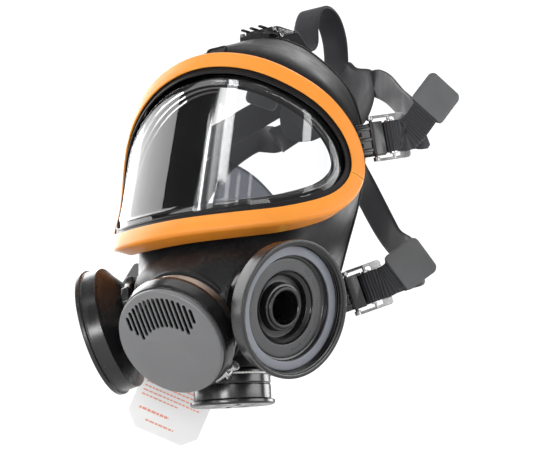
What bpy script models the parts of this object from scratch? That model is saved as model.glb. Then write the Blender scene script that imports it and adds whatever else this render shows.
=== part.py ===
"""Full face respirator: rubber facepiece, wide cylindrical lens in a two-part clamp ring, two threaded
cartridge receptacles, a speech diaphragm unit, an exhalation valve, an inner nose cup and a five-strap
rubber head harness with roller buckles.

Frame: +Z up, the mask looks along -Y, +X is the wearer's left side. The origin is on the middle plane, in
the opening for the face, level with the base of the nose. Lengths below are in millimetres and angles in
degrees; every mesh is written in metres.
"""

import math

import bmesh
import bpy
from mathutils import Matrix, Vector

MM = 0.001
GAP = 0.4

# Lens: part of an upright cylinder that leans back by LENS_TILT about X.
LENS_TILT = 16.0
LENS_ORIGIN = Vector((0, 8, 18))
FACE_RADIUS = 101.6
LENS_RADIUS = 99.0
LENS_THICKNESS = 2.4
# Half of the lens outline, unrolled: arc length from the middle, height. Top middle to bottom middle.
LENS_OUTLINE = [(0, 59.5), (32, 55.5), (60, 46), (86, 32.5), (104, 14),
                (108.5, -6), (96, -25), (68, -39.5), (35, -46.5), (0, -48.5)]
LOOP = 2 * (len(LENS_OUTLINE) - 1)
SEAM = 5
RING_WIDTH = 10.6
RING_WALL = 1.4
RING_DEPTH = 12.0

# Facepiece skin behind the lens ring: half loops from the forehead to the chin, front to back.
RUBBER_WALL = 3.0
COLUMNS = 2 * LOOP
SKIN_BEHIND_RING = [(0, -48, 122), (33, -44, 115), (60, -35, 96), (77, -25, 74), (82, -20, 50),
                    (79, -20, 23), (70, -36, -4), (53, -70, -30), (31, -93, -35), (0, -102, -36)]
SKIN_MIDDLE = [(0, -26, 132), (34, -22, 124), (60, -14, 103), (75, -8, 80), (81, -9, 52),
               (78, -11, 23), (66, -17, -10), (52, -46, -50), (32, -72, -66), (0, -80, -71)]
SKIN_BACK = [(0, -6, 140), (32, -3, 130), (58, 1, 107), (73, 0, 83), (79, -2, 54),
             (77, -6, 23), (63, -4, -9), (49, -16, -54), (29, -38, -73), (0, -46, -78)]
SEAL_EDGE = [(0, 11, 145), (30, 13, 133), (56, 14, 107), (70, 8, 85), (77, 4, 55),
             (74, 0, 22), (60, 5, -9), (46, 6, -42), (28, 4, -72), (0, 2, -87)]
SEAL_LIP = [(0, 3, 127), (25, 4, 117), (46, 5, 95), (58, 0, 77), (62, -4, 53),
            (58, -7, 21), (47, -2, -6), (36, -1, -34), (22, -3, -58), (0, -5, -69)]

# Ports: the middle of each outer face, and the direction that it faces.
RECEPTACLE_CENTRE = Vector((70.8, -87.9, -61.6))
RECEPTACLE_AXIS = Vector((0.923, -0.300, -0.241)).normalized()
RECEPTACLE_RADIUS = 41.0
RECEPTACLE_NECK = 18.8
SPEECH_CENTRE = Vector((0, -116.9, -76.5))
SPEECH_AXIS = Vector((0, -0.842, -0.539)).normalized()
SPEECH_RADIUS = 34.3
SPEECH_NECK = 28.0
VALVE_CENTRE = Vector((0, -49, -112))
VALVE_AXIS = Vector((0, 0, -1))
VALVE_RADIUS = 24.4
VALVE_NECK = 17.2
SLOT_COUNT = 15
SLOT_PITCH = 3.2
SLOT_WIDTH = 2.0

# Harness and buckles.
STRAP_WIDTH = 21.0
STRAP_THICKNESS = 2.2
ROLLER_RADIUS = 2.8
ROLLER_REACH = 13.0
FRAME_REACH = 22.0
FRAME_HALF_WIDTH = 15.0
SPLIT_REACH = 34.0
LUG_DEPTH = 9.0
TAB_WIDTH = 27.0
TAB_LENGTH = 24.0
PAD_CENTRE = Vector((0, 118, 134))
PAD_OUTLINE = [(0, 18), (11, 19), (19, 12), (33, 6), (38, -6), (38, -22), (31, -36), (16, -41), (0, -38)]
PAD_LEAN = 0.35
PAD_CURVE = 0.005
PAD_GAP = 0.9

# Service tag.
TAG_HALF = (25.0, 29.0)
TAG_HOLE = (17.0, 17.0)
TAG_CENTRE = Vector((-56, -31, -101))

SEGMENTS = 24


# ---------------------------------------------------------------- scene and materials

def clear_scene():
    for obj in list(bpy.data.objects):
        bpy.data.objects.remove(obj, do_unlink=True)


def collection(name):
    made = bpy.data.collections.new(name)
    bpy.context.scene.collection.children.link(made)
    return made


def material(name, colour, roughness, metallic=0.0, alpha=1.0):
    made = bpy.data.materials.new(name)
    made.use_nodes = True
    shader = made.node_tree.nodes["Principled BSDF"]
    shader.inputs["Base Color"].default_value = (*colour, 1)
    shader.inputs["Roughness"].default_value = roughness
    shader.inputs["Metallic"].default_value = metallic
    shader.inputs["Alpha"].default_value = alpha
    return made


clear_scene()
PARTS = collection("full_face_respirator")
CUTTERS = collection("cutters")
RUBBER = material("black_rubber", (0.03, 0.03, 0.032), 0.55)
STRAP_RUBBER = material("strap_rubber", (0.055, 0.056, 0.06), 0.6)
ORANGE = material("orange_plastic", (0.95, 0.42, 0.08), 0.42)
CLEAR = material("clear_lens", (0.95, 0.97, 1.0), 0.03, alpha=0.25)
BLACK_PLASTIC = material("black_plastic", (0.035, 0.036, 0.038), 0.35)
GREY_PLASTIC = material("grey_plastic", (0.2, 0.205, 0.21), 0.45)
GREY_RUBBER = material("grey_rubber", (0.33, 0.34, 0.37), 0.6)
SILICONE = material("smoke_silicone", (0.35, 0.36, 0.38), 0.3, alpha=0.7)
STEEL = material("steel", (0.75, 0.73, 0.7), 0.22, 1.0)
PAPER = material("paper", (0.93, 0.92, 0.91), 0.8)


# ---------------------------------------------------------------- curves and frames

def catmull(before, start, end, after, t):
    """A point between start and end on the smooth curve through all four."""
    t2, t3 = t * t, t * t * t
    return 0.5 * (2 * start + (end - before) * t + (2 * before - 5 * start + 4 * end - after) * t2
                  + (3 * start - before - 3 * end + after) * t3)


def on_loop(points, u):
    """The closed curve through points, at u counted in points."""
    count = len(points)
    i = math.floor(u)
    near = [points[(i + k) % count] for k in (-1, 0, 1, 2)]
    return catmull(*near, u - i)


def on_path(points, steps):
    """Points along the open curve through points, steps to each stretch."""
    ends = [2 * points[0] - points[1], *points, 2 * points[-1] - points[-2]]
    found = []
    for i in range(1, len(ends) - 2):
        found += [catmull(*ends[i - 1:i + 3], k / steps) for k in range(steps)]
    return [*found, points[-1].copy()]


def both_sides(half):
    """A closed symmetric loop from the half at +X, top middle to bottom middle."""
    right = [Vector(p) for p in half]
    left = [Vector((-p[0], *p[1:])) for p in half[-2:0:-1]]
    return right + left


OUTLINE = both_sides(LENS_OUTLINE)


def on_lens(u, outset, radius):
    """The point at u round the lens outline, moved outset outwards along the cylinder of that radius."""
    here = on_loop(OUTLINE, u)
    along = on_loop(OUTLINE, u + 0.01) - on_loop(OUTLINE, u - 0.01)
    outwards = Vector((-along.y, along.x)).normalized()
    arc, height = here + outwards * outset
    return from_lens(arc, height, radius)


def from_lens(arc, height, radius):
    turn = arc / FACE_RADIUS
    flat = Vector((radius * math.sin(turn), -radius * math.cos(turn), height))
    return LENS_ORIGIN + Matrix.Rotation(math.radians(-LENS_TILT), 3, "X") @ flat


def frame_matrix(origin, z_axis, x_axis=Vector((1, 0, 0))):
    """The place of a piece whose local Z is z_axis and whose local X lies nearest x_axis; origin in mm."""
    z = z_axis.normalized()
    x = (x_axis - x_axis.dot(z) * z).normalized()
    turned = Matrix((x, z.cross(x), z)).transposed().to_4x4()
    return Matrix.Translation(origin * MM) @ turned


def mirrored(vector):
    return Vector((-vector.x, vector.y, vector.z))


TAG_PLACE = frame_matrix(TAG_CENTRE, Vector((0.45, -0.87, -0.20)), Vector((0.74, 0.50, -0.43)))


# ---------------------------------------------------------------- shapes

def add_object(name, mesh, finish, place=None, target=None):
    obj = bpy.data.objects.new(name, mesh)
    (target or PARTS).objects.link(obj)
    if finish:
        mesh.materials.append(finish)
    if place is not None:
        obj.matrix_world = place
    return obj


def mesh_of(name, points, faces):
    mesh = bpy.data.meshes.new(name)
    mesh.from_pydata([Vector(p) * MM for p in points], [], faces)
    mesh.validate()
    mesh.shade_smooth()
    return mesh


def modifier(obj, kind, **settings):
    made = obj.modifiers.new(kind.lower(), kind)
    for key, value in settings.items():
        setattr(made, key, value)
    return made


def sheet(name, rows, wall, finish, closed=True, offset=-1.0, target=None):
    """A shell of even wall from rows of points: each row runs round, and the rows follow each other."""
    wide = len(rows[0])
    points = [p for row in rows for p in row]
    faces = []
    for j in range(len(rows) - 1):
        for i in range(wide if closed else wide - 1):
            k = (i + 1) % wide
            faces.append((j * wide + i, j * wide + k, (j + 1) * wide + k, (j + 1) * wide + i))
    obj = add_object(name, mesh_of(name, points, faces), finish, target=target)
    modifier(obj, "SOLIDIFY", thickness=wall * MM, offset=offset, use_even_offset=True, use_rim=True)
    return obj


def turned(name, profile, finish, place, segments=SEGMENTS, target=None):
    """A turned piece. profile is (radius, height) and runs down the outer side; off the axis it closes."""
    edges = [(i, i + 1) for i in range(len(profile) - 1)]
    if profile[0][0] > 0:
        edges.append((len(profile) - 1, 0))
    mesh = bpy.data.meshes.new(name)
    mesh.from_pydata([(r * MM, 0, h * MM) for r, h in profile], edges, [])
    obj = add_object(name, mesh, finish, place, target)
    modifier(obj, "SCREW", steps=segments, render_steps=segments, use_merge_vertices=True,
             merge_threshold=1e-5, use_smooth_shade=False)
    return obj


def drum(name, radius, top, bottom, place, finish=None, end_radius=None, segments=SEGMENTS, target=None):
    """A round bar or cone along local Z from bottom up to top."""
    mesh = bpy.data.meshes.new(name)
    shape = bmesh.new()
    bmesh.ops.create_cone(shape, cap_ends=True, segments=segments, radius1=(end_radius or radius) * MM,
                          radius2=radius * MM, depth=(top - bottom) * MM,
                          matrix=Matrix.Translation((0, 0, (top + bottom) / 2 * MM)))
    shape.to_mesh(mesh)
    shape.free()
    return add_object(name, mesh, finish, place, target)


def block(name, low, high, place, finish=None, target=None, bevel=0.0):
    """A box from corner low to corner high, in the frame of place."""
    mesh = bpy.data.meshes.new(name)
    shape = bmesh.new()
    bmesh.ops.create_cube(shape, size=1.0)
    low, high = Vector(low), Vector(high)
    for vertex in shape.verts:
        vertex.co = Vector([(low[k] + high[k]) / 2 + vertex.co[k] * (high[k] - low[k]) for k in range(3)]) * MM
    shape.to_mesh(mesh)
    shape.free()
    obj = add_object(name, mesh, finish, place, target)
    if bevel:
        modifier(obj, "BEVEL", width=bevel * MM, segments=2)
    return obj


def cut(obj, cutter, operation="DIFFERENCE"):
    cutter.hide_render = True
    cutter.display_type = "WIRE"
    modifier(obj, "BOOLEAN", operation=operation, object=cutter, solver="EXACT")


# ---------------------------------------------------------------- lens and clamp ring

def make_lens():
    """The lens fills the outline: rings of points that shrink towards its middle."""
    middle = Vector((0, 5))
    wide = COLUMNS
    points, faces = [from_lens(*middle, LENS_RADIUS)], []
    shares = (0.35, 0.65, 0.9, 1.0)
    for share in shares:
        for i in range(wide):
            arc, height = middle.lerp(on_loop(OUTLINE, i * LOOP / wide), share)
            points.append(from_lens(arc, height, LENS_RADIUS))
    for i in range(wide):
        k = (i + 1) % wide
        faces.append((0, 1 + k, 1 + i))
        for j in range(len(shares) - 1):
            inner, outer = 1 + j * wide, 1 + (j + 1) * wide
            faces.append((inner + i, inner + k, outer + k, outer + i))
    lens = add_object("lens", mesh_of("lens", points, faces), CLEAR)
    modifier(lens, "SOLIDIFY", thickness=LENS_THICKNESS * MM, offset=-1.0, use_rim=True)
    return lens


def make_gasket():
    """A rubber channel that wraps the edge of the lens."""
    back = LENS_RADIUS - LENS_THICKNESS - GAP
    lips = [(-4.2, LENS_RADIUS + GAP + 1.2), (1.4, LENS_RADIUS + GAP + 1.2), (1.8, LENS_RADIUS - 1.2),
            (1.4, back - 1.2), (-4.2, back - 1.2)]
    rows = [[on_lens(i * LOOP / COLUMNS, outset, radius) for i in range(COLUMNS)] for outset, radius in lips]
    return sheet("lens_gasket", rows, 1.2, RUBBER)


def make_ring_half(name, first, last):
    """Half of the clamp ring: a front flange with a rounded shoulder and a skirt round the lens edge."""
    section = [(-0.6, FACE_RADIUS + 0.7), (RING_WIDTH - 1.6, FACE_RADIUS + 0.7),
               (RING_WIDTH, FACE_RADIUS - 1.0), (RING_WIDTH + 0.6, FACE_RADIUS + 0.7 - RING_DEPTH)]
    steps = 2 * (last - first)
    trim = 0.02
    turns = [first + trim + (last - first - 2 * trim) * k / steps for k in range(steps + 1)]
    rows = [[on_lens(u, outset, radius) for u in turns] for outset, radius in section]
    return sheet(name, rows, RING_WALL, ORANGE, closed=False)


def make_ring_screw(name, side):
    """The screw that draws the two ring halves together, hidden between the ring and the skin."""
    u = SEAM if side > 0 else LOOP - SEAM
    middle = on_lens(u, 5.3, FACE_RADIUS - 4.4)
    along = on_lens(u - side, 5.3, FACE_RADIUS - 4.4) - on_lens(u + side, 5.3, FACE_RADIUS - 4.4)
    place = frame_matrix(middle, along)
    screw = drum(name, 1.3, 5.0, -5.0, place, STEEL, segments=10)
    cut(screw, drum(name + "_head", 2.0, 6.4, 4.6, place, segments=10, target=CUTTERS), "UNION")
    return screw


# ---------------------------------------------------------------- facepiece

def port_places():
    """Name and place of each port, local Z pointing out of the mask."""
    left = frame_matrix(RECEPTACLE_CENTRE, RECEPTACLE_AXIS, Vector((0, 0, 1)))
    right = frame_matrix(mirrored(RECEPTACLE_CENTRE), mirrored(RECEPTACLE_AXIS), Vector((0, 0, 1)))
    return {"left": left, "right": right,
            "speech": frame_matrix(SPEECH_CENTRE, SPEECH_AXIS),
            "valve": frame_matrix(VALVE_CENTRE, VALVE_AXIS)}


PORT = port_places()


def skin_rows(columns):
    """Loops of points over the outside of the facepiece, from behind the lens to the sealing lip."""
    turns = [i * LOOP / columns for i in range(columns)]
    under_ring = [(-2.5, 94.0), (3.4, 94.0), (7.6, 92.0), (8.2, 84.5)]
    rows = [[on_lens(u, outset, radius) for u in turns] for outset, radius in under_ring]
    loops = [both_sides(h) for h in (SKIN_BEHIND_RING, SKIN_MIDDLE, SKIN_BACK, SEAL_EDGE)]
    guides = [[on_loop(loop, u) for u in turns] for loop in loops]
    lip = [on_loop(both_sides(SEAL_LIP), u) for u in turns]
    columns_of = [on_path([rows[-1][i], *[g[i] for g in guides]], 2) for i in range(columns)]
    rows += [[column[k] for column in columns_of] for k in range(1, len(columns_of[0]))]
    curl = [edge.lerp(inner, 0.35) + Vector((0, 5, 0)) for edge, inner in zip(rows[-1], lip)]
    return [*rows, curl, lip]


def make_facepiece():
    body = sheet("facepiece_body", skin_rows(COLUMNS), RUBBER_WALL, RUBBER)
    for side in ("left", "right"):
        cut(body, drum(f"{side}_boss", 26.0, -33.4, -52.0, PORT[side], target=CUTTERS), "UNION")
    cut(body, drum("speech_boss", 31.8, -16.9, -33.0, PORT["speech"], target=CUTTERS), "UNION")
    cut(body, drum("valve_boss", VALVE_RADIUS, -22.4, -46.0, PORT["valve"], end_radius=20.0,
                   target=CUTTERS), "UNION")
    for buckle in BUCKLES:
        lug = block(f"{buckle.name}_lug", (-12, -9, -LUG_DEPTH), (-2.5, 9, -2.6), buckle.place(), target=CUTTERS)
        cut(body, lug, "UNION")
    for buckle in BUCKLES:
        pocket = block(f"{buckle.name}_pocket", (-13.4, -10.4, -2.9), (2.6, 10.4, 6), buckle.place(),
                       target=CUTTERS)
        cut(body, pocket)
        cut(body, drum(f"{buckle.name}_swing", 4.4, 15.6, -15.6, buckle.axle(0), segments=16, target=CUTTERS))
    for side in ("left", "right"):
        cut(body, drum(f"{side}_seat", 22.0 + GAP, -10.0, -33.4, PORT[side], target=CUTTERS))
        cut(body, drum(f"{side}_bore", RECEPTACLE_NECK + GAP, -30.0, -56.0, PORT[side], target=CUTTERS))
        cut(body, drum(f"{side}_nut_room", 22.0 + GAP, -41.6, -60.0, PORT[side], target=CUTTERS))
    cut(body, turned("clamp_room", [(33.6, -10), (33.6, -24.8), (31.85, -24.8), (31.85, -10)], None,
                     PORT["speech"], target=CUTTERS))
    cut(body, drum("speech_bore", SPEECH_NECK + GAP, -10.0, -26.6, PORT["speech"], target=CUTTERS))
    cut(body, drum("speech_throat", 20.0, -20.0, -60.0, PORT["speech"], target=CUTTERS))
    cut(body, drum("valve_bore", VALVE_NECK + GAP, -18.0, -60.0, PORT["valve"], target=CUTTERS))
    return body


def make_nose_cup():
    """The inner mask over nose and mouth, from the edge on the face to its front opening."""
    rim = [(0, -34, 36), (13, -26, 24), (25, -13, 2), (34, -6, -22), (31, -7, -44), (17, -14, -57), (0, -16, -60)]
    middle = [(0, -45, 22), (11, -41, 9), (21, -34, -8), (27, -28, -26), (25, -28, -43), (15, -32, -52),
              (0, -34, -54)]
    front = [(0, -50, 2), (7, -51, -4), (12, -51, -14), (15, -51, -26), (14, -50, -36), (8, -48, -43),
             (0, -47, -45)]
    count = 2 * (len(rim) - 1)
    wide = 2 * count
    loops = [both_sides(h) for h in (front, middle, rim)]
    guides = [[on_loop(loop, i * count / wide) for i in range(wide)] for loop in loops]
    columns_of = [on_path([g[i] for g in guides], 2) for i in range(wide)]
    rows = [[column[k] for column in columns_of] for k in range(len(columns_of[0]))]
    cup = sheet("nose_cup", rows, 1.8, SILICONE)
    for side, place in CHECK_VALVE.items():
        cut(cup, drum(f"{side}_check_bore", 6.4, 8.0, -8.0, place, segments=16, target=CUTTERS))
    return cup


CHECK_VALVE = {
    "left": frame_matrix(Vector((24.5, -22, -6)), Vector((0.80, -0.43, 0.42))),
    "right": frame_matrix(Vector((-24.5, -22, -6)), Vector((-0.80, -0.43, 0.42))),
}


# ---------------------------------------------------------------- port pieces

def receptacle_profile():
    """Down the outside of the cup, through the neck, and up the inside past the thread to the rim."""
    outside = [(RECEPTACLE_RADIUS, 0), (RECEPTACLE_RADIUS, -2.4), (39.6, -3.0), (39.2, -12.4), (37.0, -13.6),
               (22.0, -25.5), (22.0, -33.0), (RECEPTACLE_NECK, -33.0), (RECEPTACLE_NECK, -47.0)]
    inside = [(10.9, -47.0), (10.9, -11.6), (12.0, -11.0), (14.0, -11.0), (14.6, -16.4), (18.6, -16.4),
              (21.5, -9.5), (31.2, -9.5), (31.2, -7.4), (38.4, -7.4)]
    thread = []
    for turn in range(3):
        top = -6.2 + 2.0 * turn
        thread += [(38.4, top - 0.4), (37.3, top + 0.3), (37.3, top + 0.7), (38.4, top + 1.4)]
    return [*outside, *inside, *thread, (39.4, 0)]


def make_receptacle(side):
    place = PORT[side]
    turned(f"cartridge_receptacle_{side}", receptacle_profile(), BLACK_PLASTIC, place)
    turned(f"receptacle_gasket_{side}", [(36.6, -5.2), (36.6, -7.0), (31.6, -7.0), (31.6, -5.2)],
           GREY_RUBBER, place)
    turned(f"receptacle_nut_{side}", [(22.0, -42.0), (22.0, -46.4), (19.2, -46.4), (19.2, -42.0)],
           BLACK_PLASTIC, place, segments=20)
    seat = turned(f"inhalation_valve_seat_{side}", [(17.0, -47.4), (17.0, -50.0), (10.4, -50.0),
                                                    (10.4, -47.4)], GREY_PLASTIC, place, segments=20)
    add_spider(seat, f"inhalation_{side}", place, 11.5, -48.6, -49.8, -53.6)
    turned(f"inhalation_valve_disc_{side}", [(13.5, -50.4), (13.5, -51.2), (2.1, -51.2), (2.1, -50.4)],
           GREY_RUBBER, place, segments=20)


SPIDER_TURN = Matrix.Rotation(math.radians(20), 4, "Z")


def add_spider(seat, name, place, reach, top, bottom, stem_end):
    """Two crossing bars and the stem that the valve disc rides on."""
    for turn, half in (("across", (reach, 0.9)), ("along", (0.9, reach))):
        shift = 0.1 if turn == "along" else 0.0
        bar = block(f"{name}_bar_{turn}", (-half[0], -half[1], bottom + shift), (half[0], half[1], top - shift),
                    place @ SPIDER_TURN, target=CUTTERS)
        cut(seat, bar, "UNION")
    ends = sorted((stem_end, (top + bottom) / 2))
    cut(seat, drum(f"{name}_stem", 1.6, ends[1], ends[0], place, segments=10, target=CUTTERS), "UNION")


def slot_span(across):
    """Lower and upper end of the speech cover's slot that lies across from the middle."""
    away = abs(across)
    upper = math.sqrt(30.0 ** 2 - away ** 2)
    lower = 10.6 - 0.0254 * away ** 2 if away < 16 else 4.1 + (away - 16)
    return lower, upper


def make_speech_unit():
    place = PORT["speech"]
    r = SPEECH_RADIUS
    turned("speech_housing", [(r, -4.4), (r, -7.0), (r - 0.9, -16.4), (SPEECH_NECK, -16.5),
                              (SPEECH_NECK, -26.0), (20.0, -26.0), (20.0, -23.0), (25.5, -22.0),
                              (25.5, -11.0), (30.2, -11.0), (31.2, -4.4)], BLACK_PLASTIC, place)
    turned("speech_diaphragm", [(0, -10.0), (29.6, -10.0), (29.6, -10.6), (0, -10.6)], STEEL, place)
    turned("diaphragm_retaining_ring", [(29.4, -7.0), (29.4, -9.6), (25.5, -9.6), (25.5, -7.0)],
           BLACK_PLASTIC, place)
    cover = turned("speech_cover", [(0, 0), (r - 1.0, 0), (r, -0.9), (r, -4.0), (r - 1.8, -4.0),
                                    (r - 1.8, -2.2), (0, -2.2)], GREY_PLASTIC,
                   place @ Matrix.Rotation(math.radians(2.3), 4, "Z"), segments=36)
    for k in range(SLOT_COUNT):
        across = (k - (SLOT_COUNT - 1) / 2) * SLOT_PITCH
        lower, upper = slot_span(across)
        cut(cover, block(f"slot_{k}", (across - SLOT_WIDTH / 2, lower, -4), (across + SLOT_WIDTH / 2, upper, 2),
                         place, target=CUTTERS))
    turned("band_clamp", [(33.0, -17.2), (33.0, -24.2), (32.1, -24.2), (32.1, -17.2)], STEEL, place)
    make_clamp_screw(place)


def make_clamp_screw(place):
    """The clamp's screw lies along the band, in the lug low on the wearer's left of the unit."""
    turn = math.radians(-68)
    local = Matrix.Rotation(turn, 4, "Z") @ Matrix.Translation(Vector((36.4, 0, -20.7)) * MM)
    along = place @ local @ Matrix.Rotation(math.radians(-90), 4, "X")
    lug = block("band_clamp_lug", (-3.0, -3.4, -6.0), (3.0, 3.4, 6.0), along, STEEL)
    cut(lug, drum("lug_bore", 2.2, 8.0, -8.0, along, segments=12, target=CUTTERS))
    screw = drum("band_clamp_screw", 1.8, 9.5, -9.5, along, STEEL, segments=12)
    cut(screw, drum("clamp_screw_head", 3.0, 12.4, 8.5, along, segments=12, target=CUTTERS), "UNION")


def make_exhalation_valve():
    place = PORT["valve"]
    r = VALVE_RADIUS
    body = turned("exhalation_valve_body", [(r, -3.6), (r, -21.8), (VALVE_NECK, -22.0), (VALVE_NECK, -38.0),
                                            (14.2, -38.0), (14.2, -19.0), (15.6, -19.0), (16.2, -20.4),
                                            (21.8, -20.4), (21.8, -3.6)], BLACK_PLASTIC, place)
    add_spider(body, "exhalation", place, 14.8, -19.6, -21.6, -14.0)
    turned("exhalation_valve_disc", [(17.4, -17.6), (17.4, -18.6), (2.1, -18.6), (2.1, -17.6)],
           GREY_RUBBER, place)
    cover = turned("exhalation_cover", [(0, 0), (25.0, 0), (26.6, -0.8), (26.6, -3.2), (r - 0.2, -3.2),
                                        (r - 0.2, -2.0), (0, -2.0)], BLACK_PLASTIC, place)
    for k in range(8):
        spoke = place @ Matrix.Rotation(k * math.pi / 4, 4, "Z")
        cut(cover, block(f"grille_{k}", (7.0, -1.5, -4), (20.0, 1.5, 2), spoke, target=CUTTERS))


def make_check_valve(side):
    place = CHECK_VALVE[side]
    seat = turned(f"nose_cup_valve_seat_{side}", [(8.0, 3.4), (8.0, 2.4), (6.0, 2.4), (6.0, -3.0), (4.6, -3.0),
                                                  (4.6, 3.4)], GREY_PLASTIC, place, segments=16)
    add_spider(seat, f"check_{side}", place, 5.2, -1.6, -2.8, -5.4)
    turned(f"nose_cup_valve_disc_{side}", [(5.6, -3.3), (5.6, -3.9), (2.1, -3.9), (2.1, -3.3)],
           GREY_RUBBER, place, segments=16)


# ---------------------------------------------------------------- harness

class Buckle:
    """A roller buckle: its hinge on the facepiece, and the way its strap runs off.

    The strap end's tail is the stretch between the frame and the pull tab. Side is 1 where it comes back over
    the outside of the frame and -1 where it comes back inside.
    """

    def __init__(self, name, hinge, strap, outwards, tab, tail, route, side=1):
        self.name = name
        self.tail = tail
        self.side = side
        self.hinge = Vector(hinge)
        self.strap = Vector(strap).normalized()
        out = Vector(outwards)
        self.out = (out - out.dot(self.strap) * self.strap).normalized()
        self.across = self.strap.cross(self.out)
        self.tab = Vector(tab).normalized()
        self.route = [Vector(p) for p in route]

    def at(self, reach, lift=0.0, across=0.0):
        """A point of the buckle: reach along the strap, lift away from the head."""
        return self.hinge + self.strap * reach + self.out * lift + self.across * across

    def place(self, reach=0.0, lift=0.0):
        """Local X along the strap, Y across it, Z away from the head."""
        turned_to = Matrix((self.strap, self.out.cross(self.strap), self.out)).transposed().to_4x4()
        return Matrix.Translation(self.at(reach, lift) * MM) @ turned_to

    def axle(self, reach, lift=0.0):
        """Local Z across the strap."""
        return (self.place(reach, lift) @ Matrix.Rotation(math.radians(90), 4, "X")
                @ Matrix.Rotation(math.radians(12), 4, "Z"))

    def opposite(self):
        name = self.name.replace("left", "right")
        route = [mirrored(p) for p in self.route]
        return Buckle(name, mirrored(self.hinge), mirrored(self.strap), mirrored(self.out), mirrored(self.tab),
                      self.tail, route)


TEMPLE = Buckle("temple_left", (87, -2, 55), (0.60, 0.73, 0.16), (0.75, -0.60, -0.10), (0.50, 0.43, 0.79), 20,
                [(103, 38, 72), (90, 50, 86), (77, 68, 97), (57, 93, 116), (43, 105, 126)])
CHEEK = Buckle("cheek_left", (62, 2, -43), (0.82, 0.45, 0.28), (0.50, -0.83, -0.15), (0.76, 0.35, 0.54), 8,
               [(97, 34, -27), (86, 48, -14), (68, 57, 0), (46, 62, 42), (28, 80, 68), (19, 93, 86), (13, 105, 100)])
# The wearer's right cheek strap hangs further out than the left one.
CHEEK_RIGHT = Buckle("cheek_right", (-62, 2, -43), (-0.95, 0.15, 0.26), (-0.12, -0.98, 0.12),
                     (-0.78, 0.08, 0.62), 18,
                     [(-102, 24, -25), (-109, 46, 0), (-108, 66, 36), (-99, 82, 68), (-86, 96, 88), (-67, 109, 102),
                      (-50, 109, 100), (-42, 104, 98), (-28, 103.5, 103)])
TOP = Buckle("top", (0, 8, 148.5), (0, 0.99, 0.10), (0, -0.10, 0.99), (-0.45, 0.15, -0.88), 22,
             [(0, 64, 149), (0, 76, 156), (0, 79, 173), (0, 88, 187), (0, 102, 191.5), (0, 116, 187), (0, 124, 174),
              (0, 125, 158), (0, 123, 149)], side=-1)
BUCKLES = [TOP, TEMPLE, TEMPLE.opposite(), CHEEK, CHEEK_RIGHT]


def ribbon(name, centres, across, width, finish):
    """A flat strap along centres; across gives its width direction at each point."""
    points, faces = [], []
    for centre, side in zip(centres, across):
        points += [centre - side * width / 2, centre + side * width / 2]
    for i in range(len(centres) - 1):
        faces.append((2 * i, 2 * i + 1, 2 * i + 3, 2 * i + 2))
    obj = add_object(name, mesh_of(name, points, faces), finish)
    modifier(obj, "SOLIDIFY", thickness=STRAP_THICKNESS * MM, offset=0.0, use_rim=True)
    return obj


def tail_route(buckle):
    """The strap end: in along the frame, round the roller, back over the frame, and out towards the pull tab."""
    wrap = (ROLLER_RADIUS + GAP + STRAP_THICKNESS / 2) * buckle.side
    below = [(SPLIT_REACH, -wrap), (ROLLER_REACH + 6, -wrap)]
    around = [(ROLLER_REACH - abs(wrap) * math.sin(a), -wrap * math.cos(a))
              for a in (math.radians(30 * k) for k in range(7))]
    route = [buckle.at(*p) for p in (*below, *around, (ROLLER_REACH + 5, wrap))]
    turn_off = buckle.at(FRAME_REACH + 2, wrap + 0.4 * buckle.side)
    return [*route, turn_off, turn_off + buckle.tab * buckle.tail]


def make_strap_end(buckle):
    """The strap end in the buckle, with its square pull tab."""
    centres = tail_route(buckle)
    leaning = buckle.tab
    tab_across = (buckle.across - buckle.across.project(leaning)).normalized()
    across = [buckle.across] * (len(centres) - 1) + [tab_across]
    end = ribbon(f"{buckle.name}_strap_end", centres, across, STRAP_WIDTH - 1.0, STRAP_RUBBER)
    tab_place = Matrix.Translation(centres[-1] * MM) @ Matrix((
        leaning, tab_across, leaning.cross(tab_across))).transposed().to_4x4()
    half = TAB_WIDTH / 2
    tab = block(f"{buckle.name}_tab", (-0.6, -half, -STRAP_THICKNESS / 2 - 0.1),
                (TAB_LENGTH, half, STRAP_THICKNESS / 2 + 0.1), tab_place, target=CUTTERS)
    cut(end, tab, "UNION")


def make_strap(buckle):
    """The strap from the buckle's free length back to the harness pad."""
    wrap = (ROLLER_RADIUS + GAP + STRAP_THICKNESS / 2) * buckle.side
    start = buckle.at(SPLIT_REACH + 0.8, -wrap)
    lead = buckle.at(SPLIT_REACH + 6, -wrap)
    centres = on_path([start, lead, *buckle.route], 3)
    last = len(centres) - 1
    pad_side = buckle.route[-1] - PAD_CENTRE
    at_pad = Vector((pad_side.z, 0, -pad_side.x)).normalized()
    if at_pad.dot(buckle.across) < 0:
        at_pad.negate()
    across = []
    for i in range(last + 1):
        along = centres[min(i + 1, last)] - centres[max(i - 1, 0)]
        side = buckle.across.lerp(at_pad, i / last)
        across.append((side - side.project(along)).normalized() if i > 1 else buckle.across)
    strap = ribbon(f"{buckle.name}_strap", centres, across, STRAP_WIDTH, STRAP_RUBBER)
    cut(strap, pad_cutter(f"{buckle.name}_pad_cutter"))


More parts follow.
